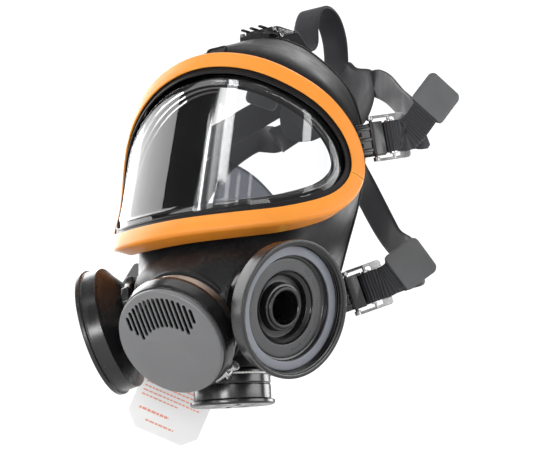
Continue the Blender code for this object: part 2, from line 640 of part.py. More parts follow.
def make_buckle(buckle):
    axle = buckle.axle(0)
    place = buckle.place()
    half = FRAME_HALF_WIDTH
    bracket = block(f"{buckle.name}_bracket", (-13, -10, -2.5), (-1, 10, 2.0), place, BLACK_PLASTIC)
    cut(bracket, drum(f"{buckle.name}_barrel", 2.6, 10.4, -10.4, axle, segments=12, target=CUTTERS), "UNION")
    cut(bracket, drum(f"{buckle.name}_pin", 1.1, 14.6, -14.6, axle, segments=12, target=CUTTERS), "UNION")

    frame = block(f"{buckle.name}_buckle_frame", (-0.5, -half, -1.0), (FRAME_REACH + 1.5, half, 1.0), place, STEEL)
    cut(frame, block(f"{buckle.name}_window", (-4, -half + 3.2, -4), (FRAME_REACH - 1.5, half - 3.2, 4), place,
                     target=CUTTERS))
    for side in (-1, 1):
        ear_middle = side * (half - 1.6)
        cut(frame, drum(f"{buckle.name}_ear_{side}", 2.6, ear_middle + 1.5, ear_middle - 1.5, axle, segments=12,
                        target=CUTTERS), "UNION")
    cut(frame, drum(f"{buckle.name}_pin_hole", 1.1 + GAP, half + 4, -half - 4, axle, segments=12, target=CUTTERS))
    cut(frame, drum(f"{buckle.name}_axle", 1.1, half - 1, -half + 1, buckle.axle(ROLLER_REACH), segments=12,
                    target=CUTTERS), "UNION")
    turned(f"{buckle.name}_roller", [(ROLLER_RADIUS, 11.2), (ROLLER_RADIUS, -11.2), (1.5, -11.2), (1.5, 11.2)],
           STEEL, buckle.axle(ROLLER_REACH), segments=12)
    make_strap_end(buckle)
    make_strap(buckle)


def on_pad(point):
    return PAD_CENTRE + Vector((point.x, PAD_LEAN * point.y - PAD_CURVE * point.x ** 2, point.y))


def make_pad():
    """The curved plate at the back of the head that the five straps meet at."""
    loop = both_sides(PAD_OUTLINE)
    wide = len(loop)
    points = [on_pad(Vector((0, 0)))] + [on_pad(p * share) for share in (0.55, 1.0) for p in loop]
    faces = []
    for i in range(wide):
        k = (i + 1) % wide
        faces += [(0, 1 + k, 1 + i), (1 + i, 1 + k, 1 + wide + k, 1 + wide + i)]
    pad = add_object("harness_pad", mesh_of("harness_pad", points, faces), STRAP_RUBBER)
    modifier(pad, "SOLIDIFY", thickness=STRAP_THICKNESS * MM, offset=0.0, use_rim=True)


def pad_cutter(name):
    """The pad's outline, grown by the gap and drawn through from front to back."""
    grown = [p + p.normalized() * PAD_GAP for p in both_sides(PAD_OUTLINE)]
    wide = len(grown)
    points = [PAD_CENTRE + Vector((p.x, y, p.y)) for y in (-30, 30) for p in grown]
    sides = [(i, (i + 1) % wide, wide + (i + 1) % wide, wide + i) for i in range(wide)]
    faces = [tuple(range(wide - 1, -1, -1)), tuple(range(wide, 2 * wide)), *sides]
    return add_object(name, mesh_of(name, points, faces), None, target=CUTTERS)


def make_tag():
    """The service tag: a card with cut corners and a hole for its loop."""
    card = block("service_tag", (-TAG_HALF[0], -TAG_HALF[1], -0.3), (*TAG_HALF, 0.3), TAG_PLACE, PAPER)
    for x in (-1, 1):
        for y in (-1, 1):
            corner = TAG_PLACE @ Matrix.Translation(Vector((x * TAG_HALF[0], y * TAG_HALF[1], 0)) * MM)
            cut(card, block(f"tag_corner_{x}_{y}", (-6, -6, -3), (6, 6, 3),
                            corner @ Matrix.Rotation(math.radians(45), 4, "Z"), target=CUTTERS))
    hole = TAG_PLACE @ Matrix.Translation(Vector((*TAG_HOLE, 0)) * MM)
    cut(card, drum("tag_hole", 2.6, 3, -3, hole, segments=12, target=CUTTERS))


def make_tag_loop():
    """The cord loop that holds the tag: through its hole and round the exhalation valve."""
    hole = TAG_PLACE @ (Vector((*TAG_HOLE, 0)) * MM)
    facing = TAG_PLACE.col[2].to_3d()
    text_way = TAG_PLACE.col[0].to_3d()
    middle = Vector((0, VALVE_CENTRE.y, -93)) * MM
    ring = 25.7 * MM
    start = math.atan2(hole.y - middle.y, hole.x - middle.x)
    arc = [start + math.radians(a) for a in range(48, 313, 12)]
    points = [hole + facing * 2 * MM]
    points += [middle + Vector((math.cos(a), math.sin(a), 0)) * ring for a in arc]
    points += [hole + (text_way * 12 - facing * 3) * MM, hole - facing * 2 * MM]
    curve = bpy.data.curves.new("tag_loop", "CURVE")
    curve.dimensions = "3D"
    curve.bevel_depth = 0.7 * MM
    curve.bevel_resolution = 1
    spline = curve.splines.new("POLY")
    spline.points.add(len(points) - 1)
    for spot, point in zip(spline.points, points):
        spot.co = (*point, 1)
    spline.use_cyclic_u = True
    add_object("tag_loop", curve, PAPER)


# ---------------------------------------------------------------- assembly

def build():
    make_lens()
    make_gasket()
    make_ring_half("lens_ring_upper", -SEAM, SEAM)
    make_ring_half("lens_ring_lower", SEAM, LOOP - SEAM)
    make_ring_screw("lens_ring_screw_left", 1)
    make_ring_screw("lens_ring_screw_right", -1)
    make_facepiece()
    make_nose_cup()
    for side in ("left", "right"):
        make_receptacle(side)
        make_check_valve(side)
    make_speech_unit()
    make_exhalation_valve()
    for buckle in BUCKLES:
        make_buckle(buckle)
    make_pad()
    make_tag()
    make_tag_loop()


build()
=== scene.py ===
"""Full face respirator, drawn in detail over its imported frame.

Lengths are in millimetres and angles in degrees unless a comment says otherwise; meshes are in metres.
The mask looks along -Y, +Z is up and +X is the wearer's left. The shape rules repeat those of the frame.
"""

import math

import bmesh
import bpy
from mathutils import Matrix, Vector, noise


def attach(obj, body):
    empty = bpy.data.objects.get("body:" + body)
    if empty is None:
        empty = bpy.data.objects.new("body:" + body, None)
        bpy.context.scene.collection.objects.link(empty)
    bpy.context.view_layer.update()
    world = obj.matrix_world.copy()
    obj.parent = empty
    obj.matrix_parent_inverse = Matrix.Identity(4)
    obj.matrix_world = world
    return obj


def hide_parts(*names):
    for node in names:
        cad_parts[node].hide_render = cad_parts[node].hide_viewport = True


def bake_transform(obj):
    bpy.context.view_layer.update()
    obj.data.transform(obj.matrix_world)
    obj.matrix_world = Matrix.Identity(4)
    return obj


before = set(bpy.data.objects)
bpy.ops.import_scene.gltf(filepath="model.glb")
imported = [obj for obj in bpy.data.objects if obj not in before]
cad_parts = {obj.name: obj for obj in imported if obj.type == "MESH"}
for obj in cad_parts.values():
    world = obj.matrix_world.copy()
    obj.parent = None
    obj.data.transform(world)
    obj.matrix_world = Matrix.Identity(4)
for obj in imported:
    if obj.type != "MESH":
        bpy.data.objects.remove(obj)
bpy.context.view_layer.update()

MM = 0.001
MASK = "mask"

# Lens: part of an upright cylinder that leans back.
LENS_TILT = 16.0
LENS_ORIGIN = Vector((0, 8, 18))
FACE_RADIUS = 101.6
LENS_RADIUS = 99.0
LENS_THICKNESS = 2.4
LENS_MIDDLE = Vector((0, 5))
LENS_OUTLINE = [(0, 59.5), (32, 55.5), (60, 46), (86, 32.5), (104, 14),
                (108.5, -6), (96, -25), (68, -39.5), (35, -46.5), (0, -48.5)]
LOOP = 2 * (len(LENS_OUTLINE) - 1)
SEAM = 5

# Facepiece skin: half loops from the forehead to the chin, front to back.
RUBBER_WALL = 3.0
SKIN_FRONT = [(0, -48, 122), (33, -44, 115), (60, -35, 96), (77, -25, 74), (82, -20, 50),
              (79, -20, 23), (70, -36, -4), (53, -70, -30), (31, -93, -35), (0, -102, -36)]
SKIN_MIDDLE = [(0, -26, 132), (34, -22, 124), (60, -14, 103), (75, -8, 80), (81, -9, 52),
               (78, -11, 23), (66, -17, -10), (52, -46, -50), (32, -72, -66), (0, -80, -71)]
SKIN_BACK = [(0, -6, 140), (32, -3, 130), (58, 1, 107), (73, 0, 83), (79, -2, 54),
             (77, -6, 23), (63, -4, -9), (49, -16, -54), (29, -38, -73), (0, -46, -78)]
SEAL_EDGE = [(0, 11, 145), (30, 13, 133), (56, 14, 107), (70, 8, 85), (77, 4, 55),
             (74, 0, 22), (60, 5, -9), (46, 6, -42), (28, 4, -72), (0, 2, -87)]
SEAL_LIP = [(0, 6, 130), (28, 7, 123), (52, 9, 104), (66, 4, 84), (70, 0, 54),
            (63, -5, 21), (47, -2, -6), (36, -1, -34), (22, -3, -58), (0, -5, -69)]

# Ports: the middle of each outer face and the way that it faces.
RECEPTACLE_CENTRE = Vector((70.8, -87.9, -61.6))
RECEPTACLE_AXIS = Vector((0.923, -0.300, -0.241))
RECEPTACLE_RADIUS = 41.0
RECEPTACLE_NECK = 18.8
SPEECH_CENTRE = Vector((0, -116.9, -76.5))
SPEECH_AXIS = Vector((0, -0.842, -0.539))
SPEECH_RADIUS = 34.3
SPEECH_NECK = 28.0
VALVE_CENTRE = Vector((0, -49, -112))
VALVE_RADIUS = 24.4
VALVE_NECK = 17.2
SLOT_COUNT = 15
SLOT_PITCH = 3.2
SLOT_WIDTH = 2.3
GAP = 0.4

# Harness.
STRAP_WIDTH = 21.0
STRAP_THICKNESS = 2.2
ROLLER_RADIUS = 2.8
ROLLER_REACH = 13.0
FRAME_REACH = 22.0
FRAME_HALF_WIDTH = 15.0
SPLIT_REACH = 34.0
LUG_DEPTH = 9.0
TAB_WIDTH = 27.0
TAB_LENGTH = 24.0
PAD_CENTRE = Vector((0, 118, 134))
PAD_OUTLINE = [(0, 18), (11, 19), (19, 12), (33, 6), (38, -6), (38, -22), (31, -36), (16, -41), (0, -38)]
PAD_LEAN = 0.35
PAD_CURVE = 0.005
WRAP = ROLLER_RADIUS + GAP + STRAP_THICKNESS / 2
LIP_CURL = 0.035

TAG_HALF = (25.0, 29.0)
TAG_HOLE = (17.0, 17.0)
TAG_CENTRE = Vector((-56, -31, -101))

# Camera and floor, in metres.
CAMERA_PLACE = Vector((0.4485, -0.7684, -0.1577))
CAMERA_RIGHT = Vector((0.85902, 0.50946, -0.05032))
CAMERA_UP = Vector((0.13630, -0.13286, 0.98172))
CAMERA_LENS = 90.545
FLOOR_HEIGHT = -0.175


# ---------------------------------------------------------------- materials


class Nodes:
    """A material's node tree, with the coordinates of the piece in metres at hand."""

    def __init__(self, name, slot=None):
        self.material = bpy.data.materials.new(name)
        self.material.use_nodes = True
        self.tree = self.material.node_tree
        self.shader = self.tree.nodes["Principled BSDF"]
        self.output = self.tree.nodes["Material Output"]
        self.place = self.add("ShaderNodeTexCoord").outputs["Object"]

    def add(self, kind, **settings):
        node = self.tree.nodes.new(kind)
        for key, value in settings.items():
            setattr(node, key, value)
        return node

    def link(self, start, end):
        self.tree.links.new(start, end)

    def stretched(self, stretch):
        mapping = self.add("ShaderNodeMapping")
        mapping.inputs["Scale"].default_value = stretch
        self.link(self.place, mapping.inputs["Vector"])
        return mapping.outputs["Vector"]

    def noise(self, scale, detail=3.0, stretch=None):
        made = self.add("ShaderNodeTexNoise")
        made.inputs["Scale"].default_value = scale
        made.inputs["Detail"].default_value = detail
        self.link(self.stretched(stretch) if stretch else self.place, made.inputs["Vector"])
        return made.outputs["Fac"]

    def ranged(self, value, low, high, start=0.3, end=0.7):
        made = self.add("ShaderNodeMapRange")
        for key, number in (("From Min", start), ("From Max", end), ("To Min", low), ("To Max", high)):
            made.inputs[key].default_value = number
        self.link(value, made.inputs["Value"])
        return made.outputs["Result"]

    def mixed(self, share, first, second, blend="MIX"):
        """A colour between first and second, each a colour or a socket."""
        made = self.add("ShaderNodeMix", data_type="RGBA", blend_type=blend)
        for socket, value in ((made.inputs[0], share), (made.inputs[6], first), (made.inputs[7], second)):
            if isinstance(value, bpy.types.NodeSocket):
                self.link(value, socket)
            else:
                socket.default_value = value if isinstance(value, float) else (*value, 1)
        return made.outputs[2]

    def bump(self, *layers):
        """Layers of (height socket, depth in mm) stacked on the shader's normal."""
        below = None
        for height, depth in layers:
            made = self.add("ShaderNodeBump")
            made.inputs["Strength"].default_value = 1.0
            made.inputs["Distance"].default_value = depth * MM
            self.link(height, made.inputs["Height"])
            if below:
                self.link(below, made.inputs["Normal"])
            below = made.outputs["Normal"]
        self.link(below, self.shader.inputs["Normal"])

    def set(self, **values):
        for key, value in values.items():
            self.shader.inputs[key.replace("_", " ")].default_value = value


def moulded(name, slot, colour, roughness, grain, depth, edge=0.10, dust=0.0, tone=0.15, gloss=0.5):
    """Moulded rubber or plastic: uneven tone, fine grain, rubbed edges, faint scuffs and a little dust."""
    nodes = Nodes(name, slot)
    patches = nodes.ranged(nodes.noise(35.0), 0.0, 1.0)
    dark = [c * (1 - tone) for c in colour]
    light = [min(1.0, c * (1 + tone)) for c in colour]
    base = nodes.mixed(patches, dark, light)
    geometry = nodes.add("ShaderNodeNewGeometry")
    rubbed = nodes.ranged(geometry.outputs["Pointiness"], 0.0, edge, 0.52, 0.60)
    base = nodes.mixed(rubbed, base, [min(1.0, c * 2.5 + 0.06) for c in colour])
    facing = nodes.add("ShaderNodeSeparateXYZ")
    nodes.link(geometry.outputs["Normal"], facing.inputs[0])
    specks = nodes.ranged(nodes.noise(420.0, 6.0), 0.0, 1.0, 0.45, 0.75)
    upward = nodes.ranged(facing.outputs["Z"], 0.0, dust, 0.2, 1.0)
    dusty = nodes.add("ShaderNodeMath", operation="MULTIPLY")
    nodes.link(specks, dusty.inputs[0])
    nodes.link(upward, dusty.inputs[1])
    base = nodes.mixed(dusty.outputs[0], base, (0.42, 0.41, 0.40))
    nodes.link(base, nodes.shader.inputs["Base Color"])
    scuffs = nodes.noise(90.0, 8.0, (1.0, 1.0, 0.3))
    nodes.link(nodes.ranged(scuffs, roughness - 0.07, roughness + 0.09), nodes.shader.inputs["Roughness"])
    nodes.bump((nodes.noise(grain, 2.0), depth), (nodes.noise(70.0, 2.0), depth * 4))
    nodes.set(Specular_IOR_Level=gloss)
    return nodes.material


def metal(name, slot, colour, roughness, stretch=(40.0, 900.0, 900.0)):
    """Drawn or plated steel: fine brush lines, smudges and dull patches."""
    nodes = Nodes(name, slot)
    lines = nodes.noise(1.0, 3.0, stretch)
    smudges = nodes.noise(160.0, 5.0)
    base = nodes.mixed(nodes.ranged(smudges, 0.0, 1.0), [c * 0.78 for c in colour], colour)
    nodes.link(base, nodes.shader.inputs["Base Color"])
    nodes.link(nodes.ranged(smudges, roughness, roughness + 0.18), nodes.shader.inputs["Roughness"])
    nodes.bump((lines, 0.012))
    nodes.set(Metallic=1.0)
    return nodes.material


def clear(name, slot, tint, rough):
    """Clear plastic: light goes straight on, and the surface mirrors more at a slant."""
    nodes = Nodes(name, slot)
    through = nodes.add("ShaderNodeBsdfTransparent")
    through.inputs["Color"].default_value = (*tint, 1)
    gloss = nodes.add("ShaderNodeBsdfGlossy")
    nodes.link(nodes.ranged(nodes.noise(60.0, 6.0), rough, rough + 0.05), gloss.inputs["Roughness"])
    bump = nodes.add("ShaderNodeBump")
    bump.inputs["Distance"].default_value = 0.0008 * MM
    nodes.link(nodes.noise(500.0, 4.0), bump.inputs["Height"])
    nodes.link(bump.outputs["Normal"], gloss.inputs["Normal"])
    mirror = nodes.add("ShaderNodeFresnel")
    mirror.inputs["IOR"].default_value = 1.58
    mix = nodes.add("ShaderNodeMixShader")
    nodes.link(nodes.ranged(mirror.outputs[0], 0.0, 1.0, 0.0, 1.0), mix.inputs[0])
    nodes.link(through.outputs[0], mix.inputs[1])
    nodes.link(gloss.outputs[0], mix.inputs[2])
    nodes.link(mix.outputs[0], nodes.output.inputs["Surface"])
    nodes.tree.nodes.remove(nodes.shader)
    return nodes.material


def silicone(name, slot):
    """Soft clear silicone: nearly see-through face on, milky at a slant."""
    nodes = Nodes(name, slot)
    patches = nodes.ranged(nodes.noise(50.0), 0.0, 1.0)
    base = nodes.mixed(patches, (0.10, 0.105, 0.11), (0.16, 0.165, 0.175))
    nodes.link(base, nodes.shader.inputs["Base Color"])
    nodes.link(nodes.ranged(nodes.noise(140.0, 6.0), 0.18, 0.32), nodes.shader.inputs["Roughness"])
    nodes.bump((nodes.noise(900.0, 2.0), 0.01))
    through = nodes.add("ShaderNodeBsdfTransparent")
    through.inputs["Color"].default_value = (0.42, 0.43, 0.46, 1)
    slant = nodes.add("ShaderNodeLayerWeight")
    slant.inputs["Blend"].default_value = 0.35
    mix = nodes.add("ShaderNodeMixShader")
    nodes.link(nodes.ranged(slant.outputs["Facing"], 0.15, 0.85, 0.45, 0.95), mix.inputs[0])
    nodes.link(through.outputs[0], mix.inputs[1])
    nodes.link(nodes.shader.outputs[0], mix.inputs[2])
    nodes.link(mix.outputs[0], nodes.output.inputs["Surface"])
    return nodes.material


RUBBER = moulded("facepiece_rubber", "black_rubber", (0.010, 0.010, 0.011), 0.42, 2600, 0.012, dust=0.07,
                 gloss=0.22)
STRAP = moulded("harness_rubber", "strap_rubber", (0.022, 0.022, 0.026), 0.50, 1800, 0.018, dust=0.08,
                gloss=0.25)
TAB = moulded("tab_rubber", "strap_rubber", (0.075, 0.077, 0.080), 0.55, 1800, 0.02, dust=0.15)
ORANGE = moulded("orange_ring", "orange_plastic", (0.82, 0.275, 0.028), 0.40, 3000, 0.008, edge=0.25,
                 dust=0.03, tone=0.05, gloss=0.3)
BLACK = moulded("black_plastic", "black_plastic", (0.009, 0.009, 0.010), 0.25, 2400, 0.006, dust=0.04)
DISH = moulded("satin_black_plastic", "black_plastic", (0.048, 0.049, 0.052), 0.42, 2400, 0.008, dust=0.08)
COVER = moulded("grey_cover_plastic", "grey_plastic", (0.150, 0.151, 0.155), 0.42, 2600, 0.015, dust=0.10,
                tone=0.06)
SEAL = moulded("grey_gasket_rubber", "grey_rubber", (0.19, 0.20, 0.235), 0.55, 1500, 0.012, dust=0.05)
CARD = moulded("tag_card", "paper", (0.94, 0.93, 0.93), 0.75, 1200, 0.02, edge=0.02, tone=0.03)
INK = moulded("tag_ink", "paper", (0.88, 0.36, 0.26), 0.7, 1500, 0.004, edge=0.0, tone=0.10)
CORD = moulded("tag_cord", "paper", (0.80, 0.79, 0.76), 0.8, 2500, 0.08, edge=0.0)
STEEL = metal("plated_steel", "steel", (0.60, 0.60, 0.60), 0.20)
PLATE = metal("pressed_steel", "steel", (0.36, 0.36, 0.36), 0.24)
# The speech diaphragm is drawn near black, darker than the other black parts and with little gloss, so the
# grille's slots read dark: this is painted shade of the inside of the housing.
FILM_PAINTED_SHADE = moulded("film_with_painted_shade", "steel", (0.003, 0.003, 0.003), 0.6, 900, 0.01, edge=0.0, gloss=0.1)
BAND = metal("clamp_band_steel", "steel", (0.44, 0.38, 0.33), 0.28, (900.0, 900.0, 40.0))
LENS = clear("clear_polycarbonate", "clear_lens", (0.985, 0.99, 0.995), 0.004)
SILICONE = silicone("clear_silicone", "smoke_silicone")


# ---------------------------------------------------------------- curves and frames

def catmull(before, start, end, after, t):
    t2, t3 = t * t, t * t * t
    return 0.5 * (2 * start + (end - before) * t + (2 * before - 5 * start + 4 * end - after) * t2
                  + (3 * start - before - 3 * end + after) * t3)


def on_loop(points, u):
    count = len(points)
    i = math.floor(u)
    near = [points[(i + k) % count] for k in (-1, 0, 1, 2)]
    return catmull(*near, u - i)


def on_path(points, steps):
    ends = [2 * points[0] - points[1], *points, 2 * points[-1] - points[-2]]
    found = []
    for i in range(1, len(ends) - 2):
        found += [catmull(*ends[i - 1:i + 3], k / steps) for k in range(steps)]
    return [*found, points[-1].copy()]


def evenly(points, spacing):
    """The same path with its points an even distance apart."""
    lengths = [0.0]
    for a, b in zip(points, points[1:]):
        lengths.append(lengths[-1] + (b - a).length)
    count = max(2, round(lengths[-1] / spacing))
    found, i = [], 0
    for k in range(count + 1):
        want = lengths[-1] * k / count
        while i < len(points) - 2 and lengths[i + 1] < want:
            i += 1
        part = (want - lengths[i]) / max(lengths[i + 1] - lengths[i], 1e-9)
        found.append(points[i].lerp(points[i + 1], min(1.0, part)))
    return found, lengths[-1] / count


def both_sides(half):
    right = [Vector(p) for p in half]
    return right + [Vector((-p[0], *p[1:])) for p in half[-2:0:-1]]


OUTLINE = both_sides(LENS_OUTLINE)


def rim_point(u, outset):
    """The lens outline at u, unrolled and moved outset outwards."""
    along = on_loop(OUTLINE, u + 0.01) - on_loop(OUTLINE, u - 0.01)
    return on_loop(OUTLINE, u) + Vector((-along.y, along.x)).normalized() * outset


def from_lens(flat, radius):
    """A point of the unrolled lens, rolled onto the cylinder of that radius."""
    turn = flat.x / FACE_RADIUS
    upright = Vector((radius * math.sin(turn), -radius * math.cos(turn), flat.y))
    return LENS_ORIGIN + Matrix.Rotation(math.radians(-LENS_TILT), 3, "X") @ upright


def on_lens(u, outset, radius):
    return from_lens(rim_point(u, outset), radius)


def frame_matrix(origin, z_axis, x_axis=Vector((1, 0, 0))):
    z = z_axis.normalized()
    x = (x_axis - x_axis.dot(z) * z).normalized()
    return Matrix.Translation(origin * MM) @ Matrix((x, z.cross(x), z)).transposed().to_4x4()


def mirrored(vector):
    return Vector((-vector.x, vector.y, vector.z))


PORT = {
    "left": frame_matrix(RECEPTACLE_CENTRE, RECEPTACLE_AXIS, Vector((0, 0, 1))),
    "right": frame_matrix(mirrored(RECEPTACLE_CENTRE), mirrored(RECEPTACLE_AXIS), Vector((0, 0, 1))),
    "speech": frame_matrix(SPEECH_CENTRE, SPEECH_AXIS),
    "valve": frame_matrix(VALVE_CENTRE, Vector((0, 0, -1))),
}
CHECK_VALVE = {
    "left": frame_matrix(Vector((24.5, -22, -6)), Vector((0.80, -0.43, 0.42))),
    "right": frame_matrix(Vector((-24.5, -22, -6)), Vector((-0.80, -0.43, 0.42))),
}
TAG_PLACE = frame_matrix(TAG_CENTRE, Vector((0.45, -0.87, -0.20)), Vector((0.74, 0.50, -0.43)))


def spin(degrees, axis="Z"):
    return Matrix.Rotation(math.radians(degrees), 4, axis)


def shifted(x, y, z):
    return Matrix.Translation(Vector((x, y, z)) * MM)


# ---------------------------------------------------------------- mesh tools

def new_object(name, points, faces, finish, place=Matrix(), sharp=35):
    """A mesh object from points in mm; its place is in its vertices, as in the frame."""
    mesh = bpy.data.meshes.new(name)
    mesh.from_pydata([place @ (Vector(p) * MM) for p in points], [], faces)
    shape = bmesh.new()
    shape.from_mesh(mesh)
    bmesh.ops.remove_doubles(shape, verts=shape.verts, dist=1e-6)
    bmesh.ops.recalc_face_normals(shape, faces=shape.faces)
    shape.to_mesh(mesh)
    shape.free()
    return wrap(name, mesh, finish, sharp)


def wrap(name, mesh, finish, sharp=35):
    if finish:
        mesh.materials.append(finish)
    mesh.shade_smooth()
    mesh.set_sharp_from_angle(angle=math.radians(sharp))
    obj = bpy.data.objects.new(name, mesh)
    bpy.context.scene.collection.objects.link(obj)
    return obj


def quads(rows, wide, joined=False):
    """Faces between closed rows of points; joined also joins the last row to the first."""
    faces = []
    for j in range(rows if joined else rows - 1):
        below, above = j * wide, (j + 1) % rows * wide
        for i in range(wide):
            k = (i + 1) % wide
            faces.append((below + i, below + k, above + k, above + i))
    return faces


def loft(name, rows, finish, joined=False, caps=False, sharp=35, place=Matrix()):
    """A skin over rows of points that each close on themselves."""
    wide = len(rows[0])
    faces = quads(len(rows), wide, joined)
    if caps:
        faces += [tuple(range(wide - 1, -1, -1)), tuple(range((len(rows) - 1) * wide, len(rows) * wide))]
    return new_object(name, [p for row in rows for p in row], faces, finish, place, sharp)


def rounded(profile, radius, closed=True, steps=4):
    """The outline with each corner rounded, as far as its edges allow."""
    points = [Vector(p) for p in profile]
    count = len(points)
    found = []
    for i, corner in enumerate(points):
        if not closed and i in (0, count - 1):
            found.append(corner)
            continue
        back, ahead = points[i - 1] - corner, points[(i + 1) % count] - corner
        reach = min(radius, 0.45 * back.length, 0.45 * ahead.length)
        start, end = corner + back.normalized() * reach, corner + ahead.normalized() * reach
        for k in range(steps + 1):
            t = k / steps
            found.append(start.lerp(corner, t).lerp(corner.lerp(end, t), t))
    return found


def lathe(name, profile, place, finish, radius=0.4, steps=160, warp=None, sharp=35):
    """A turned piece. A profile that starts off the axis is a ring. warp(r, h, turn) may move the radius."""
    ring = profile[0][0] > 0
    section = rounded(profile, radius, closed=ring)
    points = []
    for r, h in section:
        for k in range(steps):
            turn = 2 * math.pi * k / steps
            reach = warp(r, h, turn) if warp else r
            points.append((reach * math.cos(turn), reach * math.sin(turn), h))
    return new_object(name, points, quads(len(section), steps, joined=ring), finish, place, sharp)


def block(name, low, high, place, finish=None, bevel=0.6, steps=3):
    """A box with rounded edges."""
    low, high = Vector(low) * MM, Vector(high) * MM
    shape = bmesh.new()
    bmesh.ops.create_cube(shape, size=1.0)
    for vertex in shape.verts:
        vertex.co = Vector([(low[k] + high[k]) / 2 + vertex.co[k] * (high[k] - low[k]) for k in range(3)])
    if bevel:
        bmesh.ops.bevel(shape, geom=shape.edges[:], offset=bevel * MM, segments=steps, affect="EDGES",
                        profile=0.5)
    bmesh.ops.transform(shape, matrix=place, verts=shape.verts)
    mesh = bpy.data.meshes.new(name)
    shape.to_mesh(mesh)
    shape.free()
    return wrap(name, mesh, finish)


def bar(name, radius, top, bottom, place, finish=None, steps=48, bevel=0.3):
    """A round bar along local Z."""
    return lathe(name, [(0, top), (radius, top), (radius, bottom), (0, bottom)], place, finish, bevel, steps)


def prism(name, outline, low, high, place, finish=None, bevel=0.0):
    """An outline drawn up from low to high, with its upper and lower edges eased."""
    eased = [(low, 0), (high, 0)]
    if bevel:
        eased = [(low, bevel), (low + bevel, 0), (high - bevel, 0), (high, bevel)]
    middle = sum(outline, Vector((0, 0))) / len(outline)
    rows = []
    for height, inset in eased:
        rows.append([(*(p - (p - middle).normalized() * inset), height) for p in outline])
    return loft(name, rows, finish, caps=True, place=place)


def settle(obj):
    """Applies an object's modifiers."""
    graph = bpy.context.evaluated_depsgraph_get()
    made = bpy.data.meshes.new_from_object(obj.evaluated_get(graph), depsgraph=graph)
    obj.modifiers.clear()
    obj.data = made
    return obj


def combine(obj, others, operation, solver="MANIFOLD", sharp=35):
    """Cuts the others out of obj, or joins them on, and removes them."""
    for other in others:
        made = obj.modifiers.new("combine", "BOOLEAN")
        made.operation = operation
        made.object = other
        made.solver = solver
    settle(obj)
    for other in others:
        bpy.data.objects.remove(other)
    obj.data.shade_smooth()
    obj.data.set_sharp_from_angle(angle=math.radians(sharp))
    return obj


def give(obj, *nodes, body=MASK):
    """The piece rides on a body and stands for the named frame nodes."""
    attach(obj, body)
    if nodes:
        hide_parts(*nodes)


def polar(radius, turn):
    return Vector((radius * math.cos(turn), radius * math.sin(turn)))


def turns(first, last, step):
    """Evenly spaced turns in radians, from whole degrees."""
    return [math.radians(a) for a in range(first, last, step)]


def smoothstep(x, start=0.0, end=1.0):
    t = min(1.0, max(0.0, (x - start) / (end - start)))
    return t * t * (3 - 2 * t)


# ---------------------------------------------------------------- lens and clamp ring

RIM_STEPS = 16 * LOOP


def swept_rim(name, section, finish, first=0.0, last=float(LOOP), corner=0.4):
    """A section of (outset, radius) drawn along the lens outline."""
    whole = last - first >= LOOP
    count = round(RIM_STEPS * (last - first) / LOOP)
    turns = [first + (last - first) * k / count for k in range(count if whole else count + 1)]
    outline = rounded(section, corner)
    rows = [[on_lens(u, outset, radius) for outset, radius in outline] for u in turns]
    return loft(name, rows, finish, joined=whole, caps=not whole)


def make_lens():
    """A rolled sheet with a moulded step a little way in from its edge."""
    turns = [k * LOOP / 216 for k in range(216)]
    step = [(0, 0), (-1, 0), (-8.2, 0), (-8.6, 0.25), (-9, 0.6), (-9.6, 0.6), (-10, 0.25), (-10.5, 0)]
    shares = [k / 32 for k in range(1, 32)]
    rows = []
    for side, base in ((-1, LENS_RADIUS - LENS_THICKNESS), (1, LENS_RADIUS)):
        face = [[from_lens(rim_point(u, outset), base + (lift if side > 0 else 0)) for u in turns]
                for outset, lift in step]
        for share in shares:
            face.append([from_lens(rim_point(u, -10.5).lerp(LENS_MIDDLE, share), base) for u in turns])
        face.append([from_lens(LENS_MIDDLE, base)] * len(turns))
        rows += face[::-1] if side < 0 else face
    give(loft("lens_shell", rows, LENS, sharp=50), "lens")


def make_rim():
    front, back = LENS_RADIUS + GAP, LENS_RADIUS - LENS_THICKNESS - GAP
    channel = [(-4.4, front), (-4.6, front + 1.5), (-3.4, front + 1.5), (-3.0, front + 0.9),
               (1.4, front + 0.9), (1.8, LENS_RADIUS - 1.2), (1.4, back - 1.2), (-4.2, back - 1.2),
               (-4.2, back), (0.7, back),
               (0.7, front)]
    give(swept_rim("lens_edge_channel", channel, RUBBER, corner=0.3), "lens_gasket")
    flange = [(-1.8, 95.6), (-11.0, 95.5), (-12.2, 95.0), (-12.0, 94.4), (-10.0, 94.0), (-1.8, 93.6)]
    give(swept_rim("lens_inner_flange", flange, RUBBER, corner=0.4))
    outer = FACE_RADIUS + 0.7
    ring = [(-0.6, outer), (4.0, outer + 0.25), (9.0, outer), (10.6, 100.6), (11.2, 90.3), (9.8, 90.3),
            (9.2, 100.1), (4.0, outer - 1.4), (-0.6, outer - 1.4)]
    trim = 0.012
    for half, first, last in (("upper", -SEAM, SEAM), ("lower", SEAM, LOOP - SEAM)):
        made = swept_rim(f"clamp_ring_{half}", ring, ORANGE, first + trim, last - trim, corner=0.9)
        give(made, f"lens_ring_{half}")
    for u, name in ((0.0, "top"), (LOOP / 2, "bottom")):
        middle, out = on_lens(u, 4.6, outer + 0.25), on_lens(u, 4.6, outer + 3)
        mark = lathe(f"ring_gate_mark_{name}", [(0, 0.22), (0.7, 0.2), (0.9, -0.4), (0, -0.4)],
                     frame_matrix(middle, out - middle), ORANGE, 0.15, 24)
        give(mark)


# ---------------------------------------------------------------- facepiece

SKIN_COLUMNS = 16 * LOOP
SKIN_STEPS = 12
BOSS_RADIUS = 26.0
BOSS_TOP = -33.4


def flare(distance):
    """Depth of the rubber round a receptacle, by distance from its axis: a long, hollow flare."""
    past = max(0.0, distance - BOSS_RADIUS - 1.0)
    return BOSS_TOP - 1.2 - 23.0 * (1 - math.exp(-past / 14.0)) - 0.3 * past


